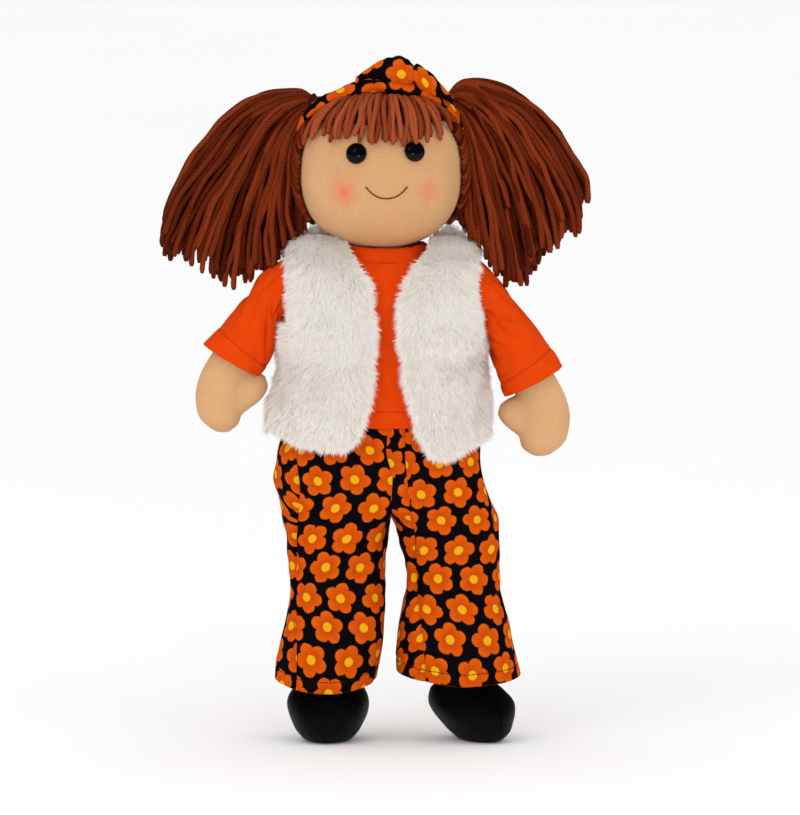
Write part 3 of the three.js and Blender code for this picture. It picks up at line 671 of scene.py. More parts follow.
FACE = skin_cloth("face_cotton", blush=True)
SKIN = skin_cloth("body_cotton")
EYE = eye_gloss()
MOUTH = thread_finish("mouth_thread", (0.10, 0.010, 0.004), (0.26, 0.03, 0.01))
ORANGE_THREAD = thread_finish("orange_thread", (0.40, 0.02, 0.003), (0.62, 0.04, 0.006))
BLACK_THREAD = thread_finish("black_thread", (0.002, 0.002, 0.002), (0.012, 0.010, 0.010))
YARN = yarn_finish("auburn_yarn", (0.010, 0.0008, 0.0002), (0.052, 0.0043, 0.0010), (0.26, 0.038, 0.0090))
# painted light: the fringe's yarn is a lighter copy of the auburn yarn, for the light that falls on the
# fringe
LIT_FRINGE_YARN = yarn_finish(
    "auburn_yarn_light", (0.045, 0.0052, 0.0016), (0.215, 0.028, 0.0072), (0.45, 0.092, 0.0290))
YARN_BASE = thread_finish("auburn_hair_base", (0.02, 0.003, 0.001), (0.07, 0.010, 0.003))
TIE = thread_finish("auburn_elastic", (0.02, 0.003, 0.001), (0.08, 0.011, 0.003))
PRINT = print_cloth("flowered_cotton")
JERSEY_CLOTH = jersey_cloth()
FUR = fur_finish("fur_pile", (0.965, 0.925, 0.872), (0.995, 0.970, 0.935), through=0.45)
FUR_BACKING = fur_finish("fur_backing", (0.93, 0.90, 0.86), (0.97, 0.95, 0.92))
SHOE = shoe_satin()
FILLING = plain_cloth("filling_fibre", (0.75, 0.74, 0.70), (0.92, 0.91, 0.88), 0.002)
ELASTIC = plain_cloth("waist_elastic_white", (0.62, 0.62, 0.60), (0.88, 0.88, 0.86), 0.0009)
TAPE = plain_cloth("fastening_tape_orange", (0.45, 0.03, 0.006), (0.78, 0.09, 0.015), 0.0008)
WASHER = plain_cloth("washer_white", (0.72, 0.72, 0.70), (0.88, 0.88, 0.86), 0.003)

# The finishes of the solids that are shown as they are
SOLID_FINISHES = {
    "filling": FILLING,
    "washer": WASHER,
    "elastic": ELASTIC,
    "tape": TAPE,
}
for node_name, node in frame["nodes"].items():
    for word, solid_finish in SOLID_FINISHES.items():
        if word in node_name:
            node.data.materials.clear()
            node.data.materials.append(solid_finish)


# Head and face

def head_point(direction, offset=0.0):
    """Where the head's skin, grown by an offset, lies in some directions from its middle."""
    half = HEAD_HALF + offset
    level = np.hypot(direction[..., 0] / half[0], direction[..., 1] / half[1])
    rise = np.abs(direction[..., 2]) / half[2]
    reach = (level ** HEAD_POWER + rise ** HEAD_POWER) ** (-1 / HEAD_POWER)
    return HEAD_MIDDLE + direction * reach[..., None]


def face_point(across, up, out=0.0):
    """A point on the face, across and up from the head's middle, lifted off the cloth."""
    level = (1 - (np.abs(up) / HEAD_HALF[2]) ** HEAD_POWER) ** (2 / HEAD_POWER)
    y = -HEAD_HALF[1] * np.sqrt(level - (across / HEAD_HALF[0]) ** 2)
    point = np.stack([across + 0 * y, y, up + 0 * y], axis=-1)
    lift = point / (HEAD_HALF ** 2)
    lift /= np.linalg.norm(lift, axis=-1, keepdims=True)
    return HEAD_MIDDLE + point + lift * out, lift


CREASES = {
    "right": [(-30.0, 320), (-28.4, 299), (-24.5, 286), (-21.5, 277.5), (-19.5, 264)],
    "left": [(27.0, 318), (24.2, 299), (22.0, 286), (20.5, 277), (15.9, 262.5)],
}
CREASE_DEPTH = 0.55
CREASE_HALF = 1.1
SWELL_HALF = 7.0
SWELL_HEIGHT = 0.175


def crease_dip(points):
    """The two faint tucks that the stuffing leaves down the face."""
    dip = np.zeros(points.shape[:-1])
    for line in CREASES.values():
        line = np.array(line, float)[::-1]
        middle = np.interp(points[..., 2], line[:, 1], line[:, 0])
        near = bump(points[..., 0] - middle, CREASE_HALF)
        ends = smoothstep(line[0, 1] - 4, line[0, 1] + 4, points[..., 2])
        swell = bump(points[..., 0] - middle, SWELL_HALF) * SWELL_HEIGHT
        dip += (near * CREASE_DEPTH - swell) * ends * (points[..., 1] < 0)
    return dip


def head_directions(rows, columns):
    """Ways out from the head's middle, ring by ring from below."""
    tilt = np.linspace(-math.pi / 2, math.pi / 2, rows + 2)[1:-1]
    half_x, half_y = np.outer(HEAD_HALF[:2], np.cos(tilt))
    direction = ovals(0, 0, HEAD_HALF[2] * np.sin(tilt), half_x, half_y, columns)
    return direction / np.linalg.norm(direction, axis=2, keepdims=True)


def make_head():
    direction = head_directions(110, 160)
    skin = head_point(direction)
    skin -= direction * (crease_dip(skin) - uneven(skin, "head"))[..., None]
    head = loft("head", skin, FACE)
    finish_piece(head, "head", "body_cloth", "head_skin", fill=0.95)


def turned_shape(name, profile, place, way, material):
    """A round piece turned about a line: rows of radius and distance along it."""
    radius, height = np.array(profile, float).T
    rings = ovals(0, 0, height, radius, radius, 40)
    aim = np.array(Vector(way).to_track_quat("Z", "X").to_matrix())
    return loft(name, rings @ aim.T + place, material)


EYE_TILT = 0.45


def make_eyes():
    for side, sign in SIDES.items():
        across, up = FACE_SHIFT + sign * EYE_SPACING / 2, EYE_RISE + sign * EYE_TILT
        place, way = face_point(np.array(across), np.array(up))
        bend = np.linspace(0, math.pi / 2, 14)[:-1]
        dome = [(EYE_RADIUS * 1.05 * math.cos(b), 0.7 + (EYE_HEIGHT - 0.5) * math.sin(b)) for b in bend]
        under = [(1.7, -9.0), (1.7, 0.1), (EYE_RADIUS * 0.8, 0.2), (EYE_RADIUS * 0.97, 0.35)]
        eye = turned_shape(f"eye_dome_{side}", under + dome + [(0.4, EYE_HEIGHT + 0.2)], place, way, EYE)
        finish_piece(eye, "head", "eye", f"eye_{side}")


# Stitches: a short thread bead, set along a line by geometry nodes

def stitch_bead(material):
    """A thread bead one millimetre long and one thick, along X, to be scaled."""
    bead = bpy.data.meshes.new("stitch bead")
    stations = [(-0.5, 0.25), (-0.42, 0.45), (0.0, 0.5), (0.42, 0.45), (0.5, 0.25)]
    rings = [[(x, radius * math.cos(t), radius * math.sin(t)) for t in turns(8)] for x, radius in stations]
    faces = [tuple(range(7, -1, -1)), tuple(range(32, 40))] + grid_faces(len(stations), 8).tolist()
    bead.from_pydata((np.array(rings).reshape(-1, 3) / 1000).tolist(), [], faces)
    bead.materials.append(material)
    bead.shade_smooth()
    return bpy.data.objects.new("stitch bead", bead)


def geometry_tree(name, inputs):
    """A geometry node tree with named inputs, from a kind and a first value for each."""
    tree = bpy.data.node_groups.new(name, "GeometryNodeTree")
    for label, (kind, value) in {"Geometry": ("Geometry", None), **inputs}.items():
        socket = tree.interface.new_socket(label, in_out="INPUT", socket_type=f"NodeSocket{kind}")
        if value is not None:
            socket.default_value = value
    tree.interface.new_socket("Geometry", in_out="OUTPUT", socket_type="NodeSocketGeometry")
    return Nodes(tree)


def end_tree(nodes, points, thing, turn, size, material):
    """Ends a tree with real copies of a thing on points, in one material."""
    shape = nodes.add("GeometryNodeObjectInfo", {"Object": thing}).outputs["Geometry"]
    settings = {"Points": points, "Instance": shape, "Rotation": turn, "Scale": size}
    placed = nodes.add("GeometryNodeInstanceOnPoints", settings).outputs[0]
    real = nodes.add("GeometryNodeRealizeInstances", {0: placed}).outputs[0]
    paint = nodes.add("GeometryNodeSetMaterial", {"Geometry": real, "Material": material})
    nodes.add("NodeGroupOutput", {0: paint.outputs[0]})
    return nodes.tree


def stitch_tree():
    nodes = geometry_tree("stitches along a line", {
        "Pitch": ("Float", 0.0025), "Length": ("Float", 2.2), "Thickness": ("Float", 0.5),
        "Bead": ("Object", None), "Thread": ("Material", None),
    })
    given = nodes.add("NodeGroupInput").outputs
    curve = nodes.add("GeometryNodeMeshToCurve", {0: given["Geometry"]}).outputs[0]
    spacing = {"Curve": curve, "Length": given["Pitch"]}
    even = nodes.add("GeometryNodeResampleCurve", spacing, mode="LENGTH").outputs[0]
    tangent = nodes.add("GeometryNodeInputTangent").outputs[0]
    aim = nodes.add("FunctionNodeAlignRotationToVector", {"Vector": tangent}, axis="X").outputs[0]
    sizes = {0: given["Length"], 1: given["Thickness"], 2: given["Thickness"]}
    size = nodes.add("ShaderNodeCombineXYZ", sizes).outputs[0]
    return end_tree(nodes, even, given["Bead"], aim, size, given["Thread"])


STITCH_TREE = stitch_tree()


def grown(piece, tree, values):
    """The piece as a geometry node tree leaves it, with a value for each of its named inputs."""
    modifier = piece.modifiers.new("growth", "NODES")
    modifier.node_group = tree
    for socket in tree.interface.items_tree:
        if socket.name in values:
            modifier[socket.identifier] = values[socket.name]
    return settled(piece)


def stitch_line(name, line, thread, sizes, body, slot, *nodes, closed=True):
    """A row of stitches along points, with their pitch, length and thickness, on its body."""
    count = len(line)
    edges = [(i, (i + 1) % count) for i in range(count if closed else count - 1)]
    mesh = bpy.data.meshes.new(name)
    mesh.from_pydata(((np.asarray(line) + SHIFT) / 1000).tolist(), edges, [])
    pitch, length, thickness = sizes
    values = {"Pitch": pitch / 1000, "Length": length, "Thickness": thickness,
              "Bead": stitch_bead(thread), "Thread": thread}
    finish_piece(grown(add_object(name, mesh), STITCH_TREE, values), body, slot, *nodes)


MOUTH_SIZES = (1.75, 1.95, 0.75)


def make_mouth():
    across = np.linspace(-MOUTH_HALF, MOUTH_HALF, 60)
    up = 0.84 * MOUTH_RISE * np.abs(across / MOUTH_HALF) ** 2.3 - MOUTH_DROP - 0.4
    line, _ = face_point(FACE_SHIFT + 0.6 + across * 0.94, up, 0.25)
    stitch_line("mouth_stitches", line, MOUTH, MOUTH_SIZES, "head", "mouth_thread", "mouth_stitching",
                closed=False)


# Neck, torso, arms and legs

def make_neck():
    middle = np.array([NECK_SEAM[0], 0, 0])
    bend = np.linspace(-0.78, math.pi / 2, 16)[:-1]
    profile = [(NECK_RADIUS, 249.4), (NECK_RADIUS, 251)]
    profile += [(NECK_BALL * math.cos(b), NOD_Z + NECK_BALL * math.sin(b)) for b in bend]
    neck = turned_shape("neck_cloth", profile, middle, (0, 0, 1), SKIN)
    finish_piece(neck, "neck", "body_cloth", "neck", fill=0.9)


TORSO_LEVELS = [
    (118, 48.5, 20.5, BODY_X), (130, 49.5, 21.5, BODY_X), (141, 50, 22.8, BODY_X), (155, 49.5, 24.5, BODY_X),
    (175, 46.8, 26, BODY_X), (182, 46.2, 26.5, BODY_X), (195, 45.4, 27, BODY_X), (215, 45.4, 26, BODY_X),
    (232, 45.4, 24, BODY_X), (241, 38.5, 20.5, BODY_X), (246.5, 31, 16.5, BODY_X), (249, 24, 14, -2.0),
]


def make_torso():
    heights = np.concatenate([np.linspace(124, 236, 46), np.linspace(238, 249, 10)])
    rings = level_rings(TORSO_LEVELS, heights, 96)
    rings[..., 1] *= 0.9 + 0.1 * smoothstep(118, 130, rings[..., 2])
    torso = loft("torso_cloth", rings, SKIN)
    finish_piece(torso, "torso", "body_cloth", "torso_skin", fill=0.95)


ARM_STATIONS = {
    "right": [(-58, 237, -54, 219, 10.5), (-69, 224.5, -57, 207.5, 10.5), (-80, 212, -64, 196, 10),
              (-90, 199, -71, 188, 9.5), (-97, 186, -74.5, 178, 9.3), (-98.7, 174, -75, 168, 9.3),
              (-95, 163.2, -77.5, 160.9, 8.2), (-89, 158.5, -82, 157.7, 4.4)],
    "left": [(53, 235.5, 48.5, 217.5, 10.5), (63, 222, 54, 205, 10.5), (74, 205, 60, 192, 10),
             (86, 186.5, 66, 177, 9.5), (92, 174, 67, 168, 9.3), (93, 160.5, 67, 156.5, 9.3),
             (88.5, 150.4, 70, 148.4, 8.2), (82.5, 146.1, 75, 145.5, 4.4)],
}
THUMB_STATIONS = {
    "right": [(-84, 181, -79, 164, 5.6), (-74.5, 189, -70.5, 170, 6.0), (-67, 189.6, -63.6, 176, 5.2),
              (-62.6, 187, -61, 180.6, 2.6)],
    "left": [(78, 172, 73, 153, 5.6), (68, 177, 64.5, 157.5, 6.0), (61.5, 175.4, 58.2, 163, 5.2),
             (57.3, 172.6, 55.8, 166.8, 2.6)],
}
ARM_VOXEL = 0.0011


def shoulder_station(sign, out, radius):
    x = BODY_X + sign * (SHOULDER_HALF + out)
    return (x, SHOULDER_Z + radius, x, SHOULDER_Z - radius, radius)


def seam_groove(piece, depth=0.28, half=0.55):
    """The seam round the edge of a limb that is sewn from a front and a back."""
    middle_y = SHIFT[1] / 1000
    for vertex in piece.data.vertices:
        away = (vertex.co.y - middle_y) * 1000 / half
        vertex.co -= vertex.normal * (depth * math.exp(-away * away) / 1000)


def make_arms():
    for side, sign in SIDES.items():
        stations = [shoulder_station(sign, CLEARANCE, ARM_ROOT), shoulder_station(sign, 4.5, ARM_ROOT)]
        upper = loft("arm", limb_rings(stations + ARM_STATIONS[side], 60, 40), SKIN)
        thumb = loft("thumb", limb_rings(THUMB_STATIONS[side], 24, 24), SKIN)
        arm = joined(f"arm_{side}_cloth", [upper, thumb])
        blend_skin = arm.modifiers.new("one skin", "REMESH")
        blend_skin.mode = "VOXEL"
        blend_skin.voxel_size = ARM_VOXEL
        even = arm.modifiers.new("even", "SMOOTH")
        even.factor = 0.6
        even.iterations = 10
        settled(arm)
        seam_groove(arm)
        arm.data.shade_smooth()
        finish_piece(arm, f"arm_{side}", "body_cloth", f"arm_{side}_skin", fill=0.9)


LEG_WIDTHS = [(HIP_Z, 18.8), (98, 18.2), (79, 17), (58, 15), (40, 14), (ANKLE_Z, 13.5)]
HIP_LEAN = 3.0
LEG_CLOTH = 1.6


def hip_levels(half_width, x, sign):
    """The round end of the thigh, from its top down to the hip's axis."""
    bend = np.radians([80, 60, 40, 20])
    rise, reach = np.sin(bend), np.cos(bend)
    middle = x - sign * HIP_LEAN * rise
    return list(zip(HIP_Z + HIP_RADIUS * rise, half_width * reach ** 0.5, HIP_RADIUS * reach, middle))


def make_legs():
    for side, sign in SIDES.items():
        levels = hip_levels(LEG_WIDTHS[0][1], HIP_X[side], sign)
        for z, half in LEG_WIDTHS:
            x = np.interp(z, [ANKLE_Z, HIP_Z], [ANKLE_X[side], HIP_X[side]])
            levels.append((z, half, HIP_RADIUS if z == HIP_Z else half, x))
        rings = level_rings(levels[::-1], np.linspace(ANKLE_Z + 0.5, levels[0][0], 80), 64)
        rings = pushed(rings, uneven(rings, "leg"))
        leg = loft(f"leg_{side}_cloth", rings, SKIN)
        finish_piece(leg, f"leg_{side}", "body_cloth", f"leg_{side}_skin", fill=0.9)
        core = loft(f"leg_{side}_core", pushed(rings, -LEG_CLOTH)[2:-2], FILLING)
        finish_piece(core, f"leg_{side}", "filling", f"leg_{side}_filling")


SHOE_LEVELS = [
    (0, 9.8, 14.6, 0, -7), (0.5, 11.2, 16.2, 0, -7), (1.4, 12.6, 17.9, 0, -7.1), (4.5, 15.4, 21.4, 0, -7.4),
    (9.5, 18.2, 24.5, 0, -7.4), (15, 20.2, 25.4, 0, -6.8), (20, 20.8, 23.6, 0, -5), (24, 19.6, 19.8, 0, -2.6),
    (27, 17.2, 16.6, 0, -0.6), (28.6, 14.4, 14.2, 0, 0),
]
# The feet lean onto their outer edges: how far their soles move out, and narrow
LEAN_OUT = {"right": 0.0, "left": 4.2}
LEAN_NARROWS = {"right": 0.0, "left": 0.14}
SHOE_COLUMNS = 112


def make_shoes():
    for side in SIDES:
        rings = level_rings(SHOE_LEVELS, np.linspace(0, 28.6, 68), SHOE_COLUMNS)
        toe = np.abs((turns(SHOE_COLUMNS) - math.pi / 2) % (2 * math.pi) - math.pi)
        high = smoothstep(1.5, 6, rings[..., 2])
        groove = 0.5 * bump(toe, 0.035) * high
        puckers = 0.22 * np.sin(toe * 46) * bump(rings[..., 2] - 5.5, 3.2)
        rings = pushed(rings, uneven(rings, "shoe") * high + puckers - groove)
        rings = rings @ np.array(Matrix.Rotation(math.radians(TOE_OUT[side]), 3, "Z")).T
        low = 1 - smoothstep(0, 19, rings[..., 2])
        rings[..., 0] *= 1 - LEAN_NARROWS[side] * low
        rings[..., 0] += LEAN_OUT[side] * low + ANKLE_X[side]
        shoe = loft(f"shoe_{side}_cloth", rings, SHOE)
        finish_piece(shoe, f"leg_{side}", "shoe_cloth", f"shoe_{side}", fill=0.85)


make_head()
make_eyes()
make_mouth()
make_neck()
make_torso()
make_arms()
make_legs()
make_shoes()


# Clothes: the T-shirt, the sleeves and the trousers

def ring_steps(rings):
    """How far each point of closed rings is from the next one."""
    return np.linalg.norm(np.roll(rings, -1, 1) - rings, axis=2)


# The cloth's folds: slant, which the right side mirrors, width, length, height, and the random
# seeds of the right and the left side
FOLDS = {
    "shirt drape": (0.12, 15, 60, 0.75, 11, 11),
    "shirt pull": (1.25, 9, 40, 0.3, 12, 12),
    "shirt hem": (0.0, 13, 400, 0.8, 13, 13),
    "sleeve puff": (-0.75, 5.8, 30, 2.3, 20, 22),
    "sleeve drape": (0.5, 12, 50, 0.8, 23, 25),
    "armpit crease": (-0.6, 8, 36, 1.0, 50, 52),
    "sleeve hem": (0.0, 11, 300, 0.8, 26, 28),
    "trouser drape": (0.1, 11, 48, 1.0, 30, 32),
    "trouser pull": (1.2, 10, 36, 1.0, 33, 35),
    "thigh drag": (-0.7, 7, 30, 0.8, 37, 37),
    "knee": (1.45, 7, 34, 0.6, 40, 42),
    "trouser hem": (0.0, 10, 500, 1.15, 43, 45),
}


def folds(rings, kind, sign=1):
    """Soft folds over closed rings, on the right side of the doll with sign -1.
    The front and the back of the rings are worked out apart and faded together."""
    slant, width, length, height, right_seed, left_seed = FOLDS[kind]
    slant = slant * sign
    seed = left_seed if sign > 0 else right_seed
    rows, columns, _ = rings.shape
    step = ring_steps(rings).mean()
    along = run_along(rings.mean(axis=1))[:, None]
    front = (1 - np.sin(turns(columns))) / 2
    field = np.zeros((rows, columns))
    for middle, share in ((3 * columns // 4, front), (columns // 4, 1 - front)):
        offsets = (np.arange(columns) - middle + columns // 2) % columns - columns // 2
        around = (offsets * step)[None, :]
        across = around * math.cos(slant) + along * math.sin(slant)
        run = along * math.cos(slant) - around * math.sin(slant)
        spots = np.stack([across / width, run / length, np.full_like(run, seed * 5.7 + middle)], axis=2)
        field += share * ripple(spots, 1.0, seed) * height
    return field


def shirt_offset(z):
    """How far outside the body the T-shirt lies: it hangs over the trousers."""
    return CLEARANCE + JERSEY + (CLEARANCE + TWILL) * (1 - smoothstep(174, 190, z))


HEM_SIZES = (2.5, 2.0, 0.42)
NECKBAND_SIZES = (2.2, 1.7, 0.5)
SLEEVE_SIZES = (2.4, 1.9, 0.4)
TROUSER_SIZES = (2.3, 1.85, 0.4)
STITCH_HALF = 0.7
SHIRT_COLUMNS = 168


def make_shirt_body():
    heights = np.concatenate([np.linspace(SHIRT_HEM, 236, 86), np.linspace(236.8, 248.9, 20)])
    rings = level_rings(TORSO_LEVELS, heights, SHIRT_COLUMNS)
    offset = shirt_offset(heights)
    rings += ovals(0, 0, 1.2 * smoothstep(236, 249, heights), offset, offset, SHIRT_COLUMNS)
    calm = 1 - smoothstep(226, 240, rings[..., 2])
    swell = (folds(rings, "shirt drape") + folds(rings, "shirt pull")) * calm
    swell += folds(rings, "shirt hem") * np.exp(-(rings[..., 2] - SHIRT_HEM) / 14)
    swell -= 0.45 * bump(rings[..., 2] - SHIRT_HEM_STITCH, STITCH_HALF)
    rings = pushed(rings, swell)
    shirt = loft("shirt_body_cloth", cloth_wall(rings, JERSEY), JERSEY_CLOTH, True, seam=42, middle=126)
    finish_piece(shirt, "torso", "jersey", "shirt_body")
    hem = rings[np.argmin(np.abs(heights - SHIRT_HEM_STITCH))] + ring_normals(rings)[0] * 0.12
    stitch_line("shirt_hem_stitches", hem, ORANGE_THREAD, HEM_SIZES, "torso", "jersey")


# The neckband's rolled section: half width, half depth and height
NECKBAND_SECTION = [
    (25.6, 18.7, 247.2), (25.0, 18.35, 248.4), (24.0, 17.7, 250.0), (22.8, 16.9, 251.6),
    (21.6, 16.1, 253.0), (20.7, 15.4, 253.7), (19.7, 14.5, 253.6), (18.9, 13.7, 252.8),
    (18.1, 12.9, 251.0), (17.8, 12.6, 249.0), (18.4, 13.0, 247.6), (22.0, 15.6, 246.7),
]
NECKBAND_COLUMNS = 120


def make_neckband():
    half_x, half_y, height = path_through(NECKBAND_SECTION + NECKBAND_SECTION[:1], 49)[:-1].T
    rings = ovals(NECK_SEAM[0], 0, height, half_x, half_y, NECKBAND_COLUMNS)
    around = turns(NECKBAND_COLUMNS)
    high = smoothstep(248, 253, rings[..., 2])
    sway = 0.35 * np.sin(around * 2 + 0.6)
    rings[..., 2] += sway + uneven(rings, "neckband height")
    rings[..., 2] += high * (0.8 + 1.0 * np.cos(around) ** 2)
    rings = pushed(rings, uneven(rings, "neckband"))
    band = loft("shirt_neckband_cloth", rings, JERSEY_CLOTH, True, seam=30, middle=90)
    finish_piece(band, "torso", "jersey", "shirt_neckband")
    line = ovals(NECK_SEAM[0], 0, 247.5, [25.75], [18.85], NECKBAND_COLUMNS)[0]
    line[:, 2] += sway
    stitch_line("shirt_neckband_stitches", line, ORANGE_THREAD, NECKBAND_SIZES, "torso", "jersey")


SLEEVE_STATIONS = {
    "right": [(-60, 243.5, -52, 214, 16.5), (-73, 227.5, -55.5, 204.5, 16),
              (-84, 214.5, -61, 194, 15.3), (-93.7, 203, -66, 187, 14.5)],
    "left": [(54, 240, 46, 213, 16.5), (65, 226, 50.5, 202, 16),
             (77.5, 209, 55.5, 189, 15.3), (88.6, 191.5, 60, 176.5, 14.5)],
}


SLEEVE_COLUMNS = 132


def make_sleeves():
    for side, sign in SIDES.items():
        root = shoulder_station(sign, 3.0, 16.95)
        rings = limb_rings([root] + SLEEVE_STATIONS[side], 84, SLEEVE_COLUMNS)
        along = run_along(rings.mean(axis=1))
        left = (along[-1] - along)[:, None]
        near = 1 - 0.62 * smoothstep(10, 38, along)[:, None]
        swell = folds(rings, "sleeve puff", sign) * near + folds(rings, "sleeve drape", sign)
        # creases that run out from the armpit
        creases = bump(folds(rings, "armpit crease", sign), 0.13)
        inner = 0.3 + 0.35 * (1 - np.cos(turns(SLEEVE_COLUMNS)))
        swell -= creases * inner * 2.3 * (1 - smoothstep(14, 44, along))[:, None]
        swell += folds(rings, "sleeve hem", sign) * smoothstep(16, 0, left)
        # the seam at the shoulder holds the folds, and the hem is turned in
        swell *= smoothstep(0, 9, along)[:, None]
        swell += 0.35 * smoothstep(SLEEVE_HEM + 0.6, SLEEVE_HEM - 0.4, left)
        swell -= 0.4 * bump(left - SLEEVE_HEM, STITCH_HALF)
        rings = pushed(rings, swell)
        wall = cloth_wall(rings[::-1], JERSEY)
        sleeve = loft(f"sleeve_{side}_cloth", wall, JERSEY_CLOTH, True, seam=33, middle=99)
        finish_piece(sleeve, f"arm_{side}", "jersey", f"shirt_sleeve_{side}")
        row = np.argmin(np.abs(left[:, 0] - SLEEVE_HEM))
        line = rings[row] + ring_normals(rings)[row] * 0.1
        stitch_line(f"sleeve_{side}_stitches", line, ORANGE_THREAD, SLEEVE_SIZES, f"arm_{side}", "jersey")


# Rows of height, outer and inner x and half depth. Above the crotch the inner x is the seam.
TROUSER_OUTLINE = {
    "right": [(179, -50.2, 0.0, 28.4), (165, -53.2, 0.3, 27.4), (154, -55.5, 0.8, 26.8),
              (143, -56.8, 1.6, 25.8), (133, -57.9, 2.2, 24.8), (123, -55.9, 2.7, 23.8),
              (112.5, -54.8, 1.4, 23.2), (102, -52.2, -0.5, 22.6), (92, -51.2, -1.0, 22.2),
              (81.5, -49.9, -1.0, 21.8), (71, -50.6, -1.1, 21.6), (61, -52.2, -1.8, 21.8),
              (50.5, -55.0, -2.8, 22.2), (40, -57.0, -4.9, 22.8), (32, -57.5, -6.5, 23.2)],
    "left": [(179, 44.3, 0.0, 28.4), (165, 46.2, 0.4, 27.4), (154, 47.0, 1.0, 26.8), (143, 47.6, 1.8, 25.8),
             (133, 49.4, 2.4, 24.8), (123, 51.9, 2.9, 23.8), (112.5, 56.0, 3.4, 23.2), (102, 57.4, 5.4, 22.6),
             (92, 57.4, 8.7, 22.2), (81.5, 57.4, 9.6, 21.8), (71, 58.6, 7.5, 21.6), (61, 61.9, 5.7, 21.8),
             (50.5, 64.2, 4.7, 22.2), (40, 66.4, 4.2, 22.8), (32.5, 67.7, 4.4, 23.2)],
}
# The seam between the two panels that show in front: height and x
PANEL_SEAM = {
    "right": [(30, -47.8), (90, -47.6), (150, -48.2)],
    "left": [(30, 15.9), (90, 13.4), (150, 10.8)],
}
HEM_DIP = {"right": (6.4, 0.6, 0.5), "left": (3.4, -0.4, -2.6)}   # in front, behind, towards the other leg
HEM_FREE = 62.0
SEAM_OVERLAP = 4.0
HEM_STITCH = 6.0
THIGH_Z = 112
KNEE_Z = 84
TROUSER_COLUMNS = 144
SEAM_COLUMN = 90
FRONT_COLUMN = 108


def trouser_rings(side):
    outline = np.array(TROUSER_OUTLINE[side])[::-1]
    heights = np.concatenate([np.linspace(outline[0, 0], 128, 120), np.linspace(128.8, TROUSER_TOP, 50)])
    outer, inner, deep = spline(outline[:, 0], outline[:, 1:], heights).T[:, :, None]
    inner = inner + SEAM_OVERLAP * np.sign(inner - outer) * smoothstep(113, 125, heights)[:, None]
    z = heights[:, None]
    middle = (outer + inner) / 2
    wide = np.abs(outer - inner) / 2
    seam_x = np.interp(z, *np.array(PANEL_SEAM[side]).T)
    seam_turn = math.pi + np.arccos(np.clip((middle - seam_x) / wide, -0.95, 0.95))
    turn = turns(TROUSER_COLUMNS)[None, :] + seam_turn - turns(TROUSER_COLUMNS)[SEAM_COLUMN]
    cosine, sine = np.cos(turn), np.sin(turn)
    inwards = cosine * np.sign(inner - outer)
    power = 2.35 + 8 * smoothstep(110, 126, z) * (inwards > 0) * np.abs(inwards) ** 0.5
    leg_reach = (np.abs(cosine / wide) ** power + np.abs(sine / deep) ** power) ** (-1 / power)
    half = np.abs(outer - BODY_X)
    from_middle = middle - BODY_X
    a = (cosine / half) ** 2 + (sine / deep) ** 2
    b = from_middle * cosine / half ** 2
    c = (from_middle / half) ** 2 - 1
    body_reach = (-b + np.sqrt(np.maximum(b * b - a * c, 0))) / a
    plane_reach = np.where(inwards > 0.02, wide / np.maximum(inwards, 0.02), 400.0)
    body_reach = -3.0 * np.log(np.exp(-body_reach / 3.0) + np.exp(-np.minimum(plane_reach, 400) / 3.0))
    up = smoothstep(146, 160, z)
    reach = leg_reach * (1 - up) + body_reach * up
    rings = np.empty((len(heights), TROUSER_COLUMNS, 3))
    rings[..., 0] = middle + reach * cosine
    rings[..., 1] = reach * sine
    front, behind, within = HEM_DIP[side]
    dip = front * np.maximum(-sine, 0) ** 1.5 + behind * np.maximum(sine, 0) + within * np.maximum(inwards, 0)
    hem = outline[0, 0] - dip
    stretch = (HEM_FREE - hem) / (HEM_FREE - outline[0, 0])
    rings[..., 2] = np.where(z < HEM_FREE, HEM_FREE - (HEM_FREE - z) * stretch, z)
    return rings, hem


PANEL_MOVED = {"right": (0.0, 0.0), "left": (3.5, 9.0)}
TROUSER_NODES = {"right": ["trouser_leg_right", "trousers_seat"], "left": ["trouser_leg_left"]}


def make_trousers():
    columns = np.arange(TROUSER_COLUMNS)
    for side, sign in SIDES.items():
        rings, hem = trouser_rings(side)
        z = rings[..., 2]
        above_hem = z - hem
        from_seam = (columns - SEAM_COLUMN)[None, :] * ring_steps(rings).mean(axis=1)[:, None]
        crease = 1.25 * bump(from_seam, 0.9) - 0.75 * bump(from_seam + 4, 3.2)
        crease -= 0.35 * bump(from_seam - 3.2, 2.4)
        puckers = 0.22 * np.sin(z / 1.35 + 2 * np.sin(z / 9)) * bump(from_seam, 2.6)
        shown = 1 - smoothstep(150, 164, z)
        swell = folds(rings, "trouser drape", sign)
        swell += folds(rings, "trouser pull", sign) * (0.33 + 0.44 * smoothstep(60, 120, z))
        swell += folds(rings, "thigh drag", sign) * bump(z - THIGH_Z, 22)
        swell += folds(rings, "knee", sign) * bump(z - KNEE_Z, 16)
        swell = (swell + puckers) * shown - crease * (0.35 + 0.65 * shown)
        swell += folds(rings, "trouser hem", sign) * smoothstep(26, 0, above_hem)
        swell -= 0.4 * bump(above_hem - HEM_STITCH, STITCH_HALF)
        rings = pushed(rings, swell)
        trousers = loft(f"trousers_{side}_cloth", cloth_wall(rings, TWILL * 0.75), PRINT, True,
                        SEAM_COLUMN, FRONT_COLUMN, PANEL_MOVED[side])
        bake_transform(trousers)
        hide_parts(*TROUSER_NODES[side])
        # the hem's stitches, where the cloth is at their height
        rows = np.argmin(np.abs(above_hem - HEM_STITCH), axis=0)
        line = rings[rows, columns] + ring_normals(rings)[rows, columns] * 0.08
        stitch_line(f"trouser_hem_{side}_stitches", line, BLACK_THREAD, TROUSER_SIZES,
                    f"leg_{side}", "flower_print")


SHOULDER_OUT = [29, 34, 38.5, 43, SHOULDER_HALF + 3.55]
SHOULDER_REACH = [13.6, 15.1, 16.2, 16.9, 17.25]


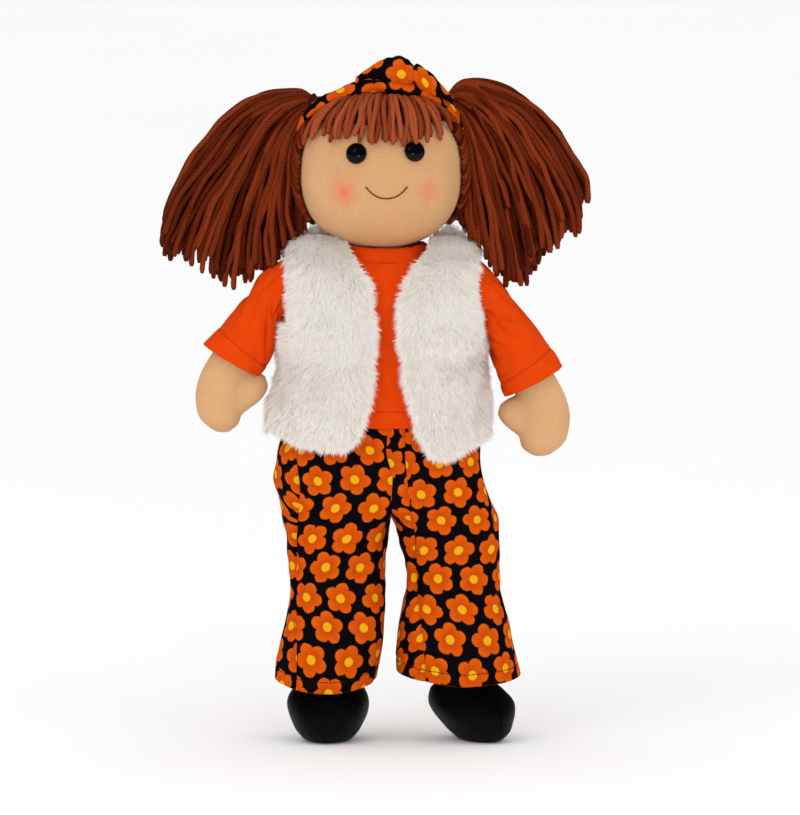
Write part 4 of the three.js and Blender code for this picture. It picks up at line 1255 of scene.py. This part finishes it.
def make_shoulders():
    """The T-shirt from its sloping shoulders out to the round roots of the sleeves."""
    for side, sign in SIDES.items():
        away = np.linspace(SHOULDER_OUT[0], SHOULDER_OUT[-1], 26)
        reach = np.interp(away, SHOULDER_OUT, SHOULDER_REACH)
        rings = upright(ovals(0, SHOULDER_Z, BODY_X + sign * away, reach, reach, 96))
        rings = pushed(rings, uneven(rings, "shoulder") * smoothstep(47, 42, away)[:, None])
        shoulder = loft(f"shirt_shoulder_{side}_cloth", cloth_wall(rings, JERSEY), JERSEY_CLOTH, True)
        finish_piece(shoulder, "torso", "jersey")


make_shirt_body()
make_shoulders()
make_neckband()
make_sleeves()
make_trousers()


# Fur vest: two fronts and a back, each a cloth backing with a dense pile

VEST_LEVELS = [
    (140, 54.5, 31.5, -5), (152, 55.5, 32.2, -5), (165, 55.5, 33, -5), (180, 53, 33.4, -3.8),
    (195, 49.6, 33.2, BODY_X), (212, 49.2, 31.6, BODY_X), (230, 49.4, 29, BODY_X), (243, 49, 25, BODY_X),
    (251, 48, 20, BODY_X), (256, 44.5, 14.5, BODY_X), (259.5, 37, 8, BODY_X),
]
# The outline of each front's backing seen from the front, from the side seam round the hem and up
# the open edge, x and z. The pile stands about four millimetres beyond it.
VEST_FRONTS = {
    "right": [(-90, 166), (-62, 164.5), (-44, 156), (-22, 153.8), (-15, 160), (-9.3, 182), (-7.3, 202),
              (-7.3, 221), (-10.5, 241), (-19, 254), (-22, 263), (-22, 290), (-90, 290), (-90, 234),
              (-51, 231), (-47.5, 224), (-48.5, 217), (-90, 216)],
    "left": [(90, 164), (55, 162), (44, 156), (30, 148.5), (19.5, 151.5), (14.2, 164), (8.8, 187), (6.3, 213),
             (6.8, 234), (13.5, 246), (20, 255), (22, 263), (22, 290), (90, 290), (90, 233), (49.5, 230),
             (44, 222), (45.5, 217), (90, 216)],
}
VEST_BACK_HEM = 160.0
VEST_NECK = 25.0
VEST_NAPE = 247.5
VEST_COLUMNS = 280
# What each piece of the backing was cut to, across and up, in metres
VEST_CUTS = {
    "vest_front_right": (0.088, 0.118),
    "vest_front_left": (0.088, 0.120),
    "vest_back": (0.165, 0.105),
}
BACKING = 1.3
FUR_STRANDS = 62000
# The pile's swirls and tufts: size, share and random seeds, and how far single hairs stray
PILE_SWIRLS = [(9, 0.22, (52, 53, 54)), (3.2, 0.14, (55, 56, 57))]
PILE_STRAY = 0.26
PILE_SPIN = 0.55
PILE_SIZES = (0.72, 1.15)


def inside_outline(x, z, outline):
    """Which points lie inside a closed outline."""
    inside = np.zeros(x.shape, bool)
    last_x, last_z = outline[-1]
    for corner_x, corner_z in outline:
        crosses = (corner_z > z) != (last_z > z)
        with np.errstate(divide="ignore", invalid="ignore"):
            edge_x = corner_x + (z - corner_z) * (last_x - corner_x) / (last_z - corner_z)
        inside ^= crosses & (x < edge_x)
        last_x, last_z = corner_x, corner_z
    return inside


def outside_armholes(points):
    """Which points the vest keeps round the sleeves' roots."""
    away = np.hypot(points[..., 1], points[..., 2] - SHOULDER_Z)
    out = np.abs(points[..., 0] - BODY_X)
    above = smoothstep(0, 16, points[..., 2] - SHOULDER_Z - np.abs(points[..., 1]) * 0.5)
    radius = 20.0 - 1.8 * above + 24 * np.clip((out - 47.5) / 8, 0, 1.5)
    return (away > radius) | (out < 36)


def vest_rings():
    """The backing's surface: ovals that are squarer at the armholes, so it covers the sleeves' seams."""
    rings = level_rings(VEST_LEVELS, np.linspace(141, 259.5, 110), VEST_COLUMNS)
    z = rings[:, :1, 2]
    power = 2 + 2.0 * smoothstep(196, 212, z) * (1 - smoothstep(243, 252, z))
    turn = turns(VEST_COLUMNS)
    reach = (np.abs(np.cos(turn)) ** power + np.abs(np.sin(turn)) ** power) ** (-1 / power)
    middle = rings[..., :2].mean(axis=1, keepdims=True)
    rings[..., :2] = middle + (rings[..., :2] - middle) * reach[..., None]
    return pushed(rings, uneven(rings, "vest"))


def border_splay(points, faces):
    """How far the pile leans out over the backing's free edges."""
    edges = np.sort(np.concatenate([faces[:, [i, (i + 1) % 4]] for i in range(4)]), axis=1)
    single, counts = np.unique(edges, axis=0, return_counts=True)
    border = np.unique(single[counts == 1])
    # the pile runs on over the side and shoulder seams, where the fronts meet the back
    border = border[np.abs(points[border, 1]) > 1.2]
    finder = KDTree(len(border))
    for number, point in enumerate(points[border]):
        finder.insert(Vector(point), number)
    finder.balance()
    splay = []
    for point in points:
        nearest, _, away = finder.find(Vector(point))
        splay.append((np.array(nearest) - point) / max(away, 1.5) * math.exp(-away / 4.5))
    return np.array(splay)


def vest_backing(name, keep):
    """The backing where keep says so, with a comb vector for the pile on each of its points."""
    rings = vest_rings()
    kept = (keep(*np.moveaxis(rings, 2, 0)) & outside_armholes(rings)).reshape(-1)
    faces = grid_faces(*rings.shape[:2])
    used, faces = np.unique(faces[kept[faces].all(axis=1)], return_inverse=True)
    faces = faces.reshape(-1, 4)
    points = rings.reshape(-1, 3)[used]
    outside = ring_normals(rings).reshape(-1, 3)[used]
    backing = make_piece(name, points, faces.tolist(), FUR_BACKING)
    # brushed down the body, and forwards over the shoulders
    top = smoothstep(243, 254, points[:, 2])
    forwards = top * (1 - smoothstep(-2, 8, points[:, 1]))
    brushed = np.stack([0 * top, -0.75 * forwards, -0.55 + 0.15 * top], axis=1)
    loose = 1.1 * border_splay(points, faces)
    for size, share, seeds in PILE_SWIRLS:
        loose += share * np.stack([ripple(points, size, seed) for seed in seeds], axis=1)
    comb = outside * (0.85 - 0.35 * forwards)[:, None] + brushed + loose * (1 - 0.6 * top)[:, None]
    comb /= np.linalg.norm(comb, axis=1, keepdims=True)
    layer = backing.data.attributes.new("comb", "FLOAT_VECTOR", "POINT")
    layer.data.foreach_set("vector", comb.astype(np.float32).ravel())
    return backing


# A curved ribbon of pile one millimetre long, standing on the middle of the origin
STRAND_POINTS = [(0, -0.03, 0), (0, 0.03, 0), (-0.08, -0.029, 0.55), (-0.08, 0.029, 0.55), (-0.33, 0, 1)]
STRAND_FACES = [(0, 1, 3, 2), (2, 3, 4)]


def fur_strand():
    mesh = bpy.data.meshes.new("fur strand")
    mesh.from_pydata((np.array(STRAND_POINTS) / 1000).tolist(), [], STRAND_FACES)
    mesh.shade_smooth()
    return bpy.data.objects.new("fur strand", mesh)


def fur_tree():
    nodes = geometry_tree("fur on a backing", {
        "Density": ("Float", 1000.0), "Length": ("Float", 6.0), "Strand": ("Object", None),
        "Pile": ("Material", None), "Seed": ("Int", 1),
    })
    given = nodes.add("NodeGroupInput").outputs
    seed = {"Seed": given["Seed"]}
    spread = {"Mesh": given["Geometry"], "Density": given["Density"], **seed}
    scatter = nodes.add("GeometryNodeDistributePointsOnFaces", spread).outputs
    comb = nodes.add("GeometryNodeInputNamedAttribute", {"Name": "comb"}, data_type="FLOAT_VECTOR").outputs[0]
    limits = {"Min": (-PILE_STRAY,) * 3, "Max": (PILE_STRAY,) * 3, **seed}
    stray = nodes.add("FunctionNodeRandomValue", limits, data_type="FLOAT_VECTOR").outputs[0]
    way = nodes.vector("ADD", comb, stray)
    aim = nodes.add("FunctionNodeAlignRotationToVector", {"Vector": way}, axis="Z").outputs[0]
    outwards = {"Rotation": aim, "Vector": scatter["Normal"]}
    facing = nodes.add("FunctionNodeAlignRotationToVector", outwards, axis="X", pivot_axis="Z").outputs[0]
    limits = {2: -PILE_SPIN, 3: PILE_SPIN, **seed}
    spin = nodes.add("FunctionNodeRandomValue", limits, data_type="FLOAT").outputs[1]
    about = nodes.add("FunctionNodeAxisAngleToRotation", {"Axis": (0, 0, 1), "Angle": spin}).outputs[0]
    turned = nodes.add("FunctionNodeRotateRotation", {0: facing, 1: about}, rotation_space="LOCAL").outputs[0]
    limits = dict(zip((2, 3), PILE_SIZES))
    size = nodes.add("FunctionNodeRandomValue", limits, data_type="FLOAT").outputs[1]
    scale = nodes.maths("MULTIPLY", size, given["Length"])
    return end_tree(nodes, scatter["Points"], given["Strand"], turned, scale, given["Pile"])


FUR_TREE = fur_tree()
STRAND = fur_strand()


# Which of the backing's points each piece of the vest takes

def in_front_right(x, y, z):
    return (y < 0.4) & inside_outline(x, z, VEST_FRONTS["right"])


def in_front_left(x, y, z):
    return (y < 0.4) & inside_outline(x, z, VEST_FRONTS["left"])


def in_back(x, y, z):
    beside_neck = (z < VEST_NAPE) | (np.abs(x - NECK_SEAM[0]) > VEST_NECK)
    return (y > -0.4) & (z > VEST_BACK_HEM) & beside_neck


def make_vest():
    strands = FUR_STRANDS * 1.0
    for seed, (name, keep) in enumerate(zip(VEST_CUTS, (in_front_right, in_front_left, in_back))):
        backing = vest_backing(f"{name}_backing", keep)
        area = sum(face.area for face in backing.data.polygons)
        values = {"Density": strands / area, "Length": FUR_LENGTH, "Strand": STRAND,
                  "Pile": FUR, "Seed": 60 + seed}
        fur = grown(add_object(f"{name}_fur", backing.data.copy()), FUR_TREE, values)
        finish_piece(fur, "torso", "fur")
        finish_piece(thickened(backing, BACKING), "torso", "fur", name)


make_vest()


# Hair: plied yarn, whose twist is in its material

chance = np.random.default_rng(7)
YARN_STEP = 2.0
YARN_POINTS = 9
SEEDS = 90


def carried_frames(path):
    """Two ways across a path that turn as little as possible along it."""
    along = np.gradient(path, axis=0)
    along /= np.linalg.norm(along, axis=1, keepdims=True)
    first = np.cross(along[0], (0.31, 0.83, 0.47))
    across = [first / np.linalg.norm(first)]
    for way in along[1:]:
        side = across[-1] - way * np.dot(across[-1], way)
        across.append(side / np.linalg.norm(side))
    across = np.array(across)
    return across, np.cross(along, across)


def yarn_piece(name, strands, material=YARN):
    """One piece from strands: a path, a radius along it, and a value from 0 to 1 for each, which makes the
    strand lighter or darker: at random, and lower on the bunches' inner strands as painted shade.
    """
    points, faces, uvs, tone_and_shade_values = [], [], [], []
    share = np.arange(YARN_POINTS) / YARN_POINTS
    turn = turns(YARN_POINTS)
    start = 0
    for path, radius, tone_and_shade in strands:
        rows = len(path)
        run = run_along(path)
        across = np.stack(carried_frames(path), axis=1)
        around = np.stack([np.cos(turn), np.sin(turn)], axis=1) @ across
        ring = path[:, None, :] + radius[:, None, None] * around
        points += [ring.reshape(-1, 3), path[[0, -1]]]
        faces += (start + grid_faces(rows, YARN_POINTS)).tolist()
        u = np.stack([share, share + 1 / YARN_POINTS, share + 1 / YARN_POINTS, share], axis=1)
        v = np.stack([run[:-1], run[:-1], run[1:], run[1:]], axis=1)
        corners = np.broadcast_arrays(u[None, :, :], v[:, None, :])
        uvs.append(np.stack(corners, axis=-1).reshape(-1, 2))
        root = start + rows * YARN_POINTS
        last = root - YARN_POINTS
        for c, u in enumerate(share):
            after = (c + 1) % YARN_POINTS
            faces += [[root, start + after, start + c], [root + 1, last + c, last + after]]
            uvs.append([(middle, v) for v in run[[0, -1]] for middle in (0.5, u, u)])
        tone_and_shade_values.append(np.full(rows * YARN_POINTS + 2, tone_and_shade))
        start = root + 2
    hair = make_piece(name, np.concatenate(points), faces, material, np.concatenate(uvs))
    layer = hair.data.attributes.new("tone_and_shade", "FLOAT", "POINT")
    layer.data.foreach_set("value", np.concatenate(tone_and_shade_values).astype(np.float32))
    return hair


def strand_from(points, radius, tone_and_shade, root_share, waver, seed):
    """A strand along points with a little waver: finer at its root, and rounded at its cut tip."""
    length = run_along(points)[-1]
    count = max(int(length / YARN_STEP) + 1, 6)
    t = np.linspace(0, 1, count)
    spots = np.linspace(0, length / 17, count)
    shift = np.array([[noise.noise(Vector((s, seed, axis * 9.1))) for axis in range(3)] for s in spots])
    path = path_through(points, count) + shift * waver * smoothstep(0, 0.35, t)[:, None]
    thick = radius * (root_share + (1 - root_share) * smoothstep(0.0, 0.28, t))
    thick[-1] *= 0.62
    return path, thick, tone_and_shade


# Bunches: the edge that lies away from the head, the tips from that edge inwards, and the inner
# edge, all from the bunch's pivot, out and up
BUNCH_EDGES = {
    "right": {
        "outer": [(0, 2), (5.4, 6.2), (14.1, 6.6), (25.4, 4.6), (33.6, 0.7), (41.8, -7.2), (49.8, -16.6),
                  (57.6, -25.6), (65, -35.5), (71, -46), (74.5, -57), (74, -63)],
        "inner": [(0, -2), (2, -8), (3, -18), (2.5, -32), (1, -45), (-2, -58)],
        "tips": [(74, -63), (76.6, -79.6), (69.5, -83), (62, -82.5), (53.6, -88), (47.4, -90.8),
                 (38.2, -94.5), (33, -92), (24, -88), (13, -80), (5, -68), (-2, -58)],
    },
    "left": {
        "outer": [(0, 4), (6.5, 11), (15, 11.6), (24.9, 9), (36.7, 3), (45.9, -4.2), (54.6, -14),
                  (60.5, -21.8), (67, -31), (71.5, -41), (72, -50)],
        "inner": [(0, -2), (2, -8), (3, -18), (2.5, -30), (1.5, -44), (2, -56)],
        "tips": [(72, -50), (67.5, -57), (66.5, -67.5), (58.7, -72), (50.5, -77), (48, -82.5), (42.5, -90),
                 (37, -98.5), (29, -92), (19, -79), (9, -66), (2, -56)],
    },
}
BUNCH_LAYERS = [(-1.0, 31), (-0.72, 27), (-0.4, 20), (0.0, 14), (0.4, 18), (0.72, 25), (1.0, 30)]
BUNCH_DEPTH = 11.5
TIE_HALF = (3.0, 5.0)
TIE_RADIUS = 1.15


BUNCH_STEPS = 30
TIP_STEPS = 60
ROOT_DEPTH = 4.4


def make_bunch(side, sign):
    edges = BUNCH_EDGES[side]
    outer, inner = (path_through(edges[edge], BUNCH_STEPS) for edge in ("outer", "inner"))
    tips = path_through(edges["tips"], TIP_STEPS)
    t = np.linspace(0, 1, BUNCH_STEPS)
    front, back = [], []
    for layer, count in BUNCH_LAYERS:
        for number in range(count):
            u = np.clip((number + 0.5 + chance.uniform(-0.28, 0.28)) / count, 0.0, 1.0)
            # towards the inner edge the strands crowd together
            flat = outer * (1 - u) + inner * u
            end = read_at(u, np.linspace(0, 1, TIP_STEPS), tips)
            flat = flat + (t ** 2)[:, None] * (end - flat[-1])
            drift = chance.uniform(-1, 1) * 4.6 * np.sin(math.pi * t) * smoothstep(0.1, 0.5, t)
            way = np.gradient(flat, axis=0)
            way /= np.linalg.norm(way, axis=1, keepdims=True)
            flat = flat + np.stack([-way[:, 1], way[:, 0]], axis=1) * drift[:, None]
            cut = 1 + chance.uniform(-0.055, 0.03) - 0.05 * (1 - abs(layer))
            if cut < 1:
                flat = flat[: max(int(BUNCH_STEPS * cut), 12)]
            share = np.linspace(0, 1, len(flat))
            thick = ROOT_DEPTH + (BUNCH_DEPTH - ROOT_DEPTH) * smoothstep(0, 0.4, share)
            round_off = math.sqrt(max(1 - 0.85 * (2 * u - 1) ** 2, 0.05))
            deep = thick * layer * round_off + chance.uniform(-2.2, 1.2) * share
            points = np.stack([flat[:, 0] * sign, deep, flat[:, 1]], axis=1)
            points = points + BUNCH_PIVOT[side] - BUNCH_OUT[side] * 1.5
            radius = YARN_RADIUS * chance.uniform(0.94, 1.12)
            # painted shade: strands inside the bunch get values of at most 0.45, which keep them near the
            # darker mid colour; the outer strands' values are random
            tone_and_shade = chance.random() * (1.0 if abs(layer) > 0.9 else 0.45)
            strand = strand_from(points, radius, tone_and_shade, 0.72, waver=1.7, seed=chance.uniform(0, SEEDS))
            (front if layer < 0.1 else back).append(strand)
    hair = yarn_piece(f"bunch_{side}_yarn_front", front)
    finish_piece(hair, f"bunch_{side}", "yarn", f"hair_bunch_{side}")
    finish_piece(yarn_piece(f"bunch_{side}_yarn_behind", back), f"bunch_{side}", "yarn")


def make_ties():
    """A twisted elastic round each bunch's root."""
    turn = np.linspace(0, 4 * math.pi, 90)
    radius = 1 + 0.05 * np.sin(turn * 1.5)
    for side in SIDES:
        out = BUNCH_OUT[side]
        up = np.array([-out[2], 0, out[0]])
        coil = BUNCH_PIVOT[side] + np.outer(np.linspace(-0.5, 1.9, 90), out)
        coil = coil + np.outer(TIE_HALF[0] * radius * np.cos(turn), up)
        coil[:, 1] += TIE_HALF[1] * radius * np.sin(turn)
        strand = (path_through(coil, 70), np.full(70, TIE_RADIUS), 0.4)
        tie = yarn_piece(f"bunch_tie_{side}_band", [strand], TIE)
        finish_piece(tie, f"bunch_{side}", "tie", f"bunch_tie_{side}")


# Sewn hair over the head

BASE_BOTTOM = 266.5
BASE_WALL = 1.0
CAP_UNDER = 1.5
CAP_LIE = 2.55
CAP_PITCH = 2.55
CAP_RADIUS = 1.42


def to_direction(points):
    away = np.asarray(points, float) - HEAD_MIDDLE
    return away / np.linalg.norm(away, axis=-1, keepdims=True)


def arc_between(first, second, count):
    """Directions that turn evenly from one to another."""
    angle = math.acos(float(np.clip(np.dot(first, second), -1, 1)))
    t = np.linspace(0, 1, count)[:, None]
    return (np.sin((1 - t) * angle) * first + np.sin(t * angle) * second) / math.sin(angle)


def make_cap_base():
    """The cloth that the hair is sewn on: the crown, and the sides and back under a front edge."""
    rows, columns = 70, 120
    points = head_point(head_directions(rows, columns), CAP_UNDER)
    y, z = points[..., 1], points[..., 2]
    front_edge = -7.5 + 10 * np.clip((294 - z) / 26, 0, 1)
    kept = (((y > front_edge) & (z > BASE_BOTTOM)) | (z > 320)).reshape(-1)
    faces = grid_faces(rows, columns)
    faces = faces[kept[faces].all(axis=1)].tolist()
    top = (rows - 1) * columns
    faces += [[top + c, top + (c + 1) % columns, rows * columns] for c in range(columns)]
    points = np.vstack([points.reshape(-1, 3), points[-1].mean(axis=0)])
    base = face_outwards(make_piece("hair_base", points, faces, YARN_BASE))
    finish_piece(thickened(base, BASE_WALL), "head", "yarn", "hair_cap")


def laid_on_head(ways, lie):
    """Points on the head's skin in some directions, each lifted off it by its own amount."""
    return np.array([head_point(way, grow) for way, grow in zip(ways, lie)])


# Where the strands begin: out from the parting, y and z
PARTING_HALF = 1.4
PARTING = [(0, -14, 335), (0, 0, 336), (0, 20, 328), (0, 33, 312), (0, 38, 293), (0, 36, 278), (0, 31, 268)]
NAPE = [(6, 31, 266), (15, 27, 265), (24, 19, 265), (30, 8, 266), (32, -1, 268)]
TEMPLE = [(36, -5.5, 276), (38.5, -8.5, 286), (40, -10, 296), (39.5, -10.5, 306), (37, -12, 316)]


def hair_starts(sign):
    """Where one side's strands begin: down the parting, along the nape and up beside the face."""
    starts = np.array(PARTING + NAPE + TEMPLE, float)
    starts[:, 0] = HEAD_MIDDLE[0] + sign * (PARTING_HALF + starts[:, 0])
    return starts


def make_cap():
    for side, sign in SIDES.items():
        root = to_direction(BUNCH_PIVOT[side])
        line = path_through(hair_starts(sign), 400)
        run = run_along(line)
        count = int(run[-1] / CAP_PITCH)
        strands = []
        for number in range(count):
            at = (number + 0.5 + chance.uniform(-0.12, 0.12)) / count * run[-1]
            ways = arc_between(to_direction(read_at(at, run, line)), root, 16)
            share = np.linspace(0, 1, 16)
            lie = CAP_LIE + chance.uniform(-0.15, 0.35) + 1.2 * smoothstep(0.6, 1.0, share)
            points = laid_on_head(ways, lie - 1.3 * smoothstep(0.12, 0.0, share))
            near = smoothstep(0.72, 1.0, share)[:, None]
            spread = (points - BUNCH_PIVOT[side]) * (1 - 0.55 * near)
            points = BUNCH_PIVOT[side] + spread + BUNCH_OUT[side] * 2.0 * near
            tone_and_shade = chance.random()
            seed = chance.uniform(0, SEEDS)
            strands.append(strand_from(points, CAP_RADIUS, tone_and_shade, 1.0, waver=0.5, seed=seed))
        hair = yarn_piece(f"hair_{side}_yarn", strands)
        finish_piece(hair, "head", "yarn")


# Tips of the fringe across and up in the face's plane, from the doll's right
FRINGE_TIPS = [
    (-45, 309), (-41.5, 310.5), (-38.4, 312.3), (-33, 313.4), (-27.1, 313.8), (-19.5, 313.8),
    (-14.3, 312.3), (-11.5, 309.7), (-5.6, 312.8), (1.8, 310.7), (7.9, 311.5), (11.5, 309.3),
    (16, 311.0), (21.5, 312.8), (24.4, 312.4), (30.2, 315.8), (36, 317.5), (38.8, 319.6),
]
# Each layer's strands: how many, how far up from the tips, how far off the skin, and their radius
FRINGE_LAYERS = [(30, -0.6, 2.7, 1.3), (22, 2.6, 1.1, 1.25)]
FRINGE_MIDDLE = -1.0


def make_fringe():
    tips_x, tips_z = np.array(FRINGE_TIPS, float).T
    half_x, half_y, half_z = HEAD_HALF + 3
    strands = []
    for layer, (count, drop, out, radius) in enumerate(FRINGE_LAYERS):
        for number in range(count):
            even_x = tips_x[0] + (number + 0.5) / count * (tips_x[-1] - tips_x[0])
            x = even_x + chance.uniform(-2.0, 2.0)
            z = np.interp(x, tips_x, tips_z) + drop + chance.uniform(-2.8, 2.2)
            room = (1 - (abs(z - HEAD_MIDDLE[2]) / half_z) ** HEAD_POWER) ** (2 / HEAD_POWER)
            deep = half_y * math.sqrt(max(room - ((x - HEAD_MIDDLE[0]) / half_x) ** 2, 0.02))
            tip = to_direction((x, min(-deep, -7.0), z))
            root_x = FRINGE_MIDDLE + (even_x - FRINGE_MIDDLE) * 0.55
            root_z = 337.5 - 6.6 * ((x - FRINGE_MIDDLE) / 42) ** 2
            root = to_direction((root_x, -12.0 + 0.03 * abs(x), root_z))
            share = np.linspace(0, 1, 14)
            lie = out + chance.uniform(-0.3, 0.5) + 1.3 * np.sin(math.pi * share) * (1 - layer * 0.5)
            lie = 0.5 + (lie - 0.5) * smoothstep(0.0, 0.2, share)
            points = laid_on_head(arc_between(root, tip, 14), lie)
            tone_and_shade = chance.random()
            seed = chance.uniform(0, SEEDS)
            strands.append(strand_from(points, radius, tone_and_shade, 0.85, waver=2.4, seed=seed))
    fringe = yarn_piece("fringe_yarn", strands, LIT_FRINGE_YARN)
    finish_piece(fringe, "head", "yarn", "hair_fringe")


# Headband and its knot

def band_frame(turn):
    """A place on the hair in the headband's tilted plane, and the way out of it."""
    lean = np.array([0, -math.sin(BAND_TILT), math.cos(BAND_TILT)])
    heart = HEAD_MIDDLE + np.array([0, 11.3, 6.8])
    aim = np.array([1.0, 0, 0]) * math.cos(turn) + lean * math.sin(turn)
    low, high = 10.0, 90.0
    for _ in range(40):
        reach = (low + high) / 2
        point = heart + aim * reach
        away = (point - HEAD_MIDDLE) / (HEAD_HALF + YARN_COAT - 0.4)
        inside = math.hypot(away[0], away[1]) ** HEAD_POWER + abs(away[2]) ** HEAD_POWER < 1
        low, high = (reach, high) if inside else (low, reach)
    return heart + aim * low, aim


def squarer(wave):
    """A wave from -1 to 1 that stays longer near its ends."""
    return np.sign(wave) * np.abs(wave) ** 0.8


def make_headband():
    rows, columns = 320, 40
    normal = np.array([0, math.cos(BAND_TILT), math.sin(BAND_TILT)])
    section = turns(columns)
    rings = np.empty((rows, columns, 3))
    for row, turn in enumerate(turns(rows)):
        point, out = band_frame(turn)
        near_knot = bump(point[0] - KNOT_X - 1, 19) * (point[2] > 320)
        width = (BAND_WIDTH - 1.8 + 2.5 * near_knot) / 2
        thick = BAND_CLOTH / 2 + 2.5 * near_knot
        across = squarer(np.cos(section)) * width
        rise = squarer(np.sin(section)) * thick
        rings[row] = point + out * thick + np.outer(across, normal) + np.outer(rise, out)
    along = np.arange(rows)[:, None] / rows * 2 * math.pi
    ridge = 0.4 * np.cos(section * 2 + 2.5 * np.sin(along * 3) + along * 7)
    rings = pushed(rings, ridge + uneven(rings, "headband"))
    band = loft("headband_cloth", rings, PRINT, True, seam=30, middle=10)
    finish_piece(band, "head", "flower_print", "headband")


# Each lobe of the knot along X: x, middle y and z, half height and half depth
KNOT_LOBES = [
    [(-16.5, -11, 340.2, 2.0, 1.6), (-11.3, -11.6, 343.2, 2.9, 2.6), (-4.1, -12.6, 345.0, 5.2, 3.9),
     (2.6, -13.2, 345.2, 6.8, 5.0), (8.8, -13.2, 344.9, 6.8, 5.0), (12.2, -12.9, 344.2, 5.6, 4.4),
     (13.8, -12.6, 343.7, 3.0, 2.6)],
    [(12.0, -12.4, 343.5, 2.8, 2.4), (13.6, -12.4, 343.7, 5.4, 4.2), (16.4, -12.2, 342.2, 6.0, 4.5),
     (20, -11.6, 339.8, 5.4, 4.0), (25, -10.8, 336.2, 4.0, 3.1), (30, -9.8, 332.2, 2.6, 2.2),
     (33.5, -8.6, 329.2, 2.0, 1.6)],
]


KNOT_TWISTS = (5.5, -5.5)
KNOT_MOVED = ((-2.0, -24.5), (-2.0, -8.0))


def make_knot():
    lobes = []
    for stations, twist, moved in zip(KNOT_LOBES, KNOT_TWISTS, KNOT_MOVED):
        rows, columns = 96, 84
        stations = np.array(stations)
        x = np.linspace(stations[0, 0], stations[-1, 0], rows)
        y, z, high, deep = spline(stations[:, 0], stations[:, 1:], x).T
        rings = upright(ovals(y, z, x, deep, high, columns))
        lay = turns(columns) * 2 + twist * np.linspace(0, 1, rows)[:, None]
        rings = pushed(rings, (0.11 * np.cos(lay) + uneven(rings, "knot")) * high[:, None])
        lobes.append(loft("lobe", rings, PRINT, middle=columns // 2, moved=moved))
    knot = joined("headband_knot_cloth", lobes)
    finish_piece(knot, "head", "flower_print", "headband_knot")


for side_name, side_sign in SIDES.items():
    make_bunch(side_name, side_sign)
make_ties()
make_cap_base()
make_cap()
make_fringe()
make_headband()
make_knot()


# Stage, light and camera

PHOTO_MIDDLE = np.array([10.5, 0.0, 170.5]) / 1000
VIEW_HEIGHT = 0.4173
VIEW_ELEVATION = math.radians(7)
CAMERA_AWAY = 12.0
SENSOR = 36.0
FLOOR_REACH = 40.0
ROOM_STRENGTH = 1.03
MIRRORED_STRENGTH = 0.12
# Lamps: place, size and power
LAMPS = {
    "key": ((-0.9, -1.3, 1.5), 1.0, 3.5),
    "front": ((0.16, -1.45, 0.22), 0.22, 2.8),
}


def aim(holder, place):
    """A lamp or camera at a place, looking at the middle of the photograph."""
    holder.location = place
    holder.rotation_euler = Vector(PHOTO_MIDDLE - np.array(place)).to_track_quat("-Z", "Y").to_euler()
    return holder


def make_stage():
    mesh = bpy.data.meshes.new("floor")
    corners = [(-1, -1, 0), (1, -1, 0), (1, 1, 0), (-1, 1, 0)]
    mesh.from_pydata((np.array(corners) * FLOOR_REACH).tolist(), [], [(0, 1, 2, 3)])
    finish = Finish("floor_white", Roughness=0.9)
    soft = finish.noise(finish.place(), 3)
    finish.colour(finish.mix(soft, (0.975, 0.975, 0.975), (0.995, 0.995, 0.995)))
    mesh.materials.append(finish.material)
    add_object("floor", mesh)


def make_light():
    world = bpy.data.worlds.new("studio")
    world.use_nodes = True
    sky = world.node_tree.nodes["Background"]
    sky.inputs["Color"].default_value = (1, 1, 1, 1)
    # the white room is dim in what the eyes and the shoes mirror, and the lamps are bright in it
    nodes = Nodes(world.node_tree)
    mirrored = nodes.add("ShaderNodeLightPath").outputs["Is Glossy Ray"]
    strengths = {"Value": mirrored, "To Min": ROOM_STRENGTH, "To Max": MIRRORED_STRENGTH}
    dimmed = nodes.add("ShaderNodeMapRange", strengths).outputs[0]
    world.node_tree.links.new(dimmed, sky.inputs["Strength"])
    bpy.context.scene.world = world
    for name, (place, size, power) in LAMPS.items():
        lamp = bpy.data.lights.new(name, "AREA")
        lamp.shape = "DISK"
        lamp.size = size
        lamp.energy = power
        aim(add_object(name, lamp), place)


def make_camera():
    camera = bpy.data.cameras.new("camera")
    camera.sensor_width = SENSOR
    camera.lens = SENSOR * CAMERA_AWAY / VIEW_HEIGHT
    camera.clip_end = 200
    back = np.array([0, -math.cos(VIEW_ELEVATION), math.sin(VIEW_ELEVATION)])
    bpy.context.scene.camera = aim(add_object("camera", camera), PHOTO_MIDDLE + back * CAMERA_AWAY)


make_stage()
make_light()
make_camera()
bpy.context.scene.view_settings.view_transform = "Standard"
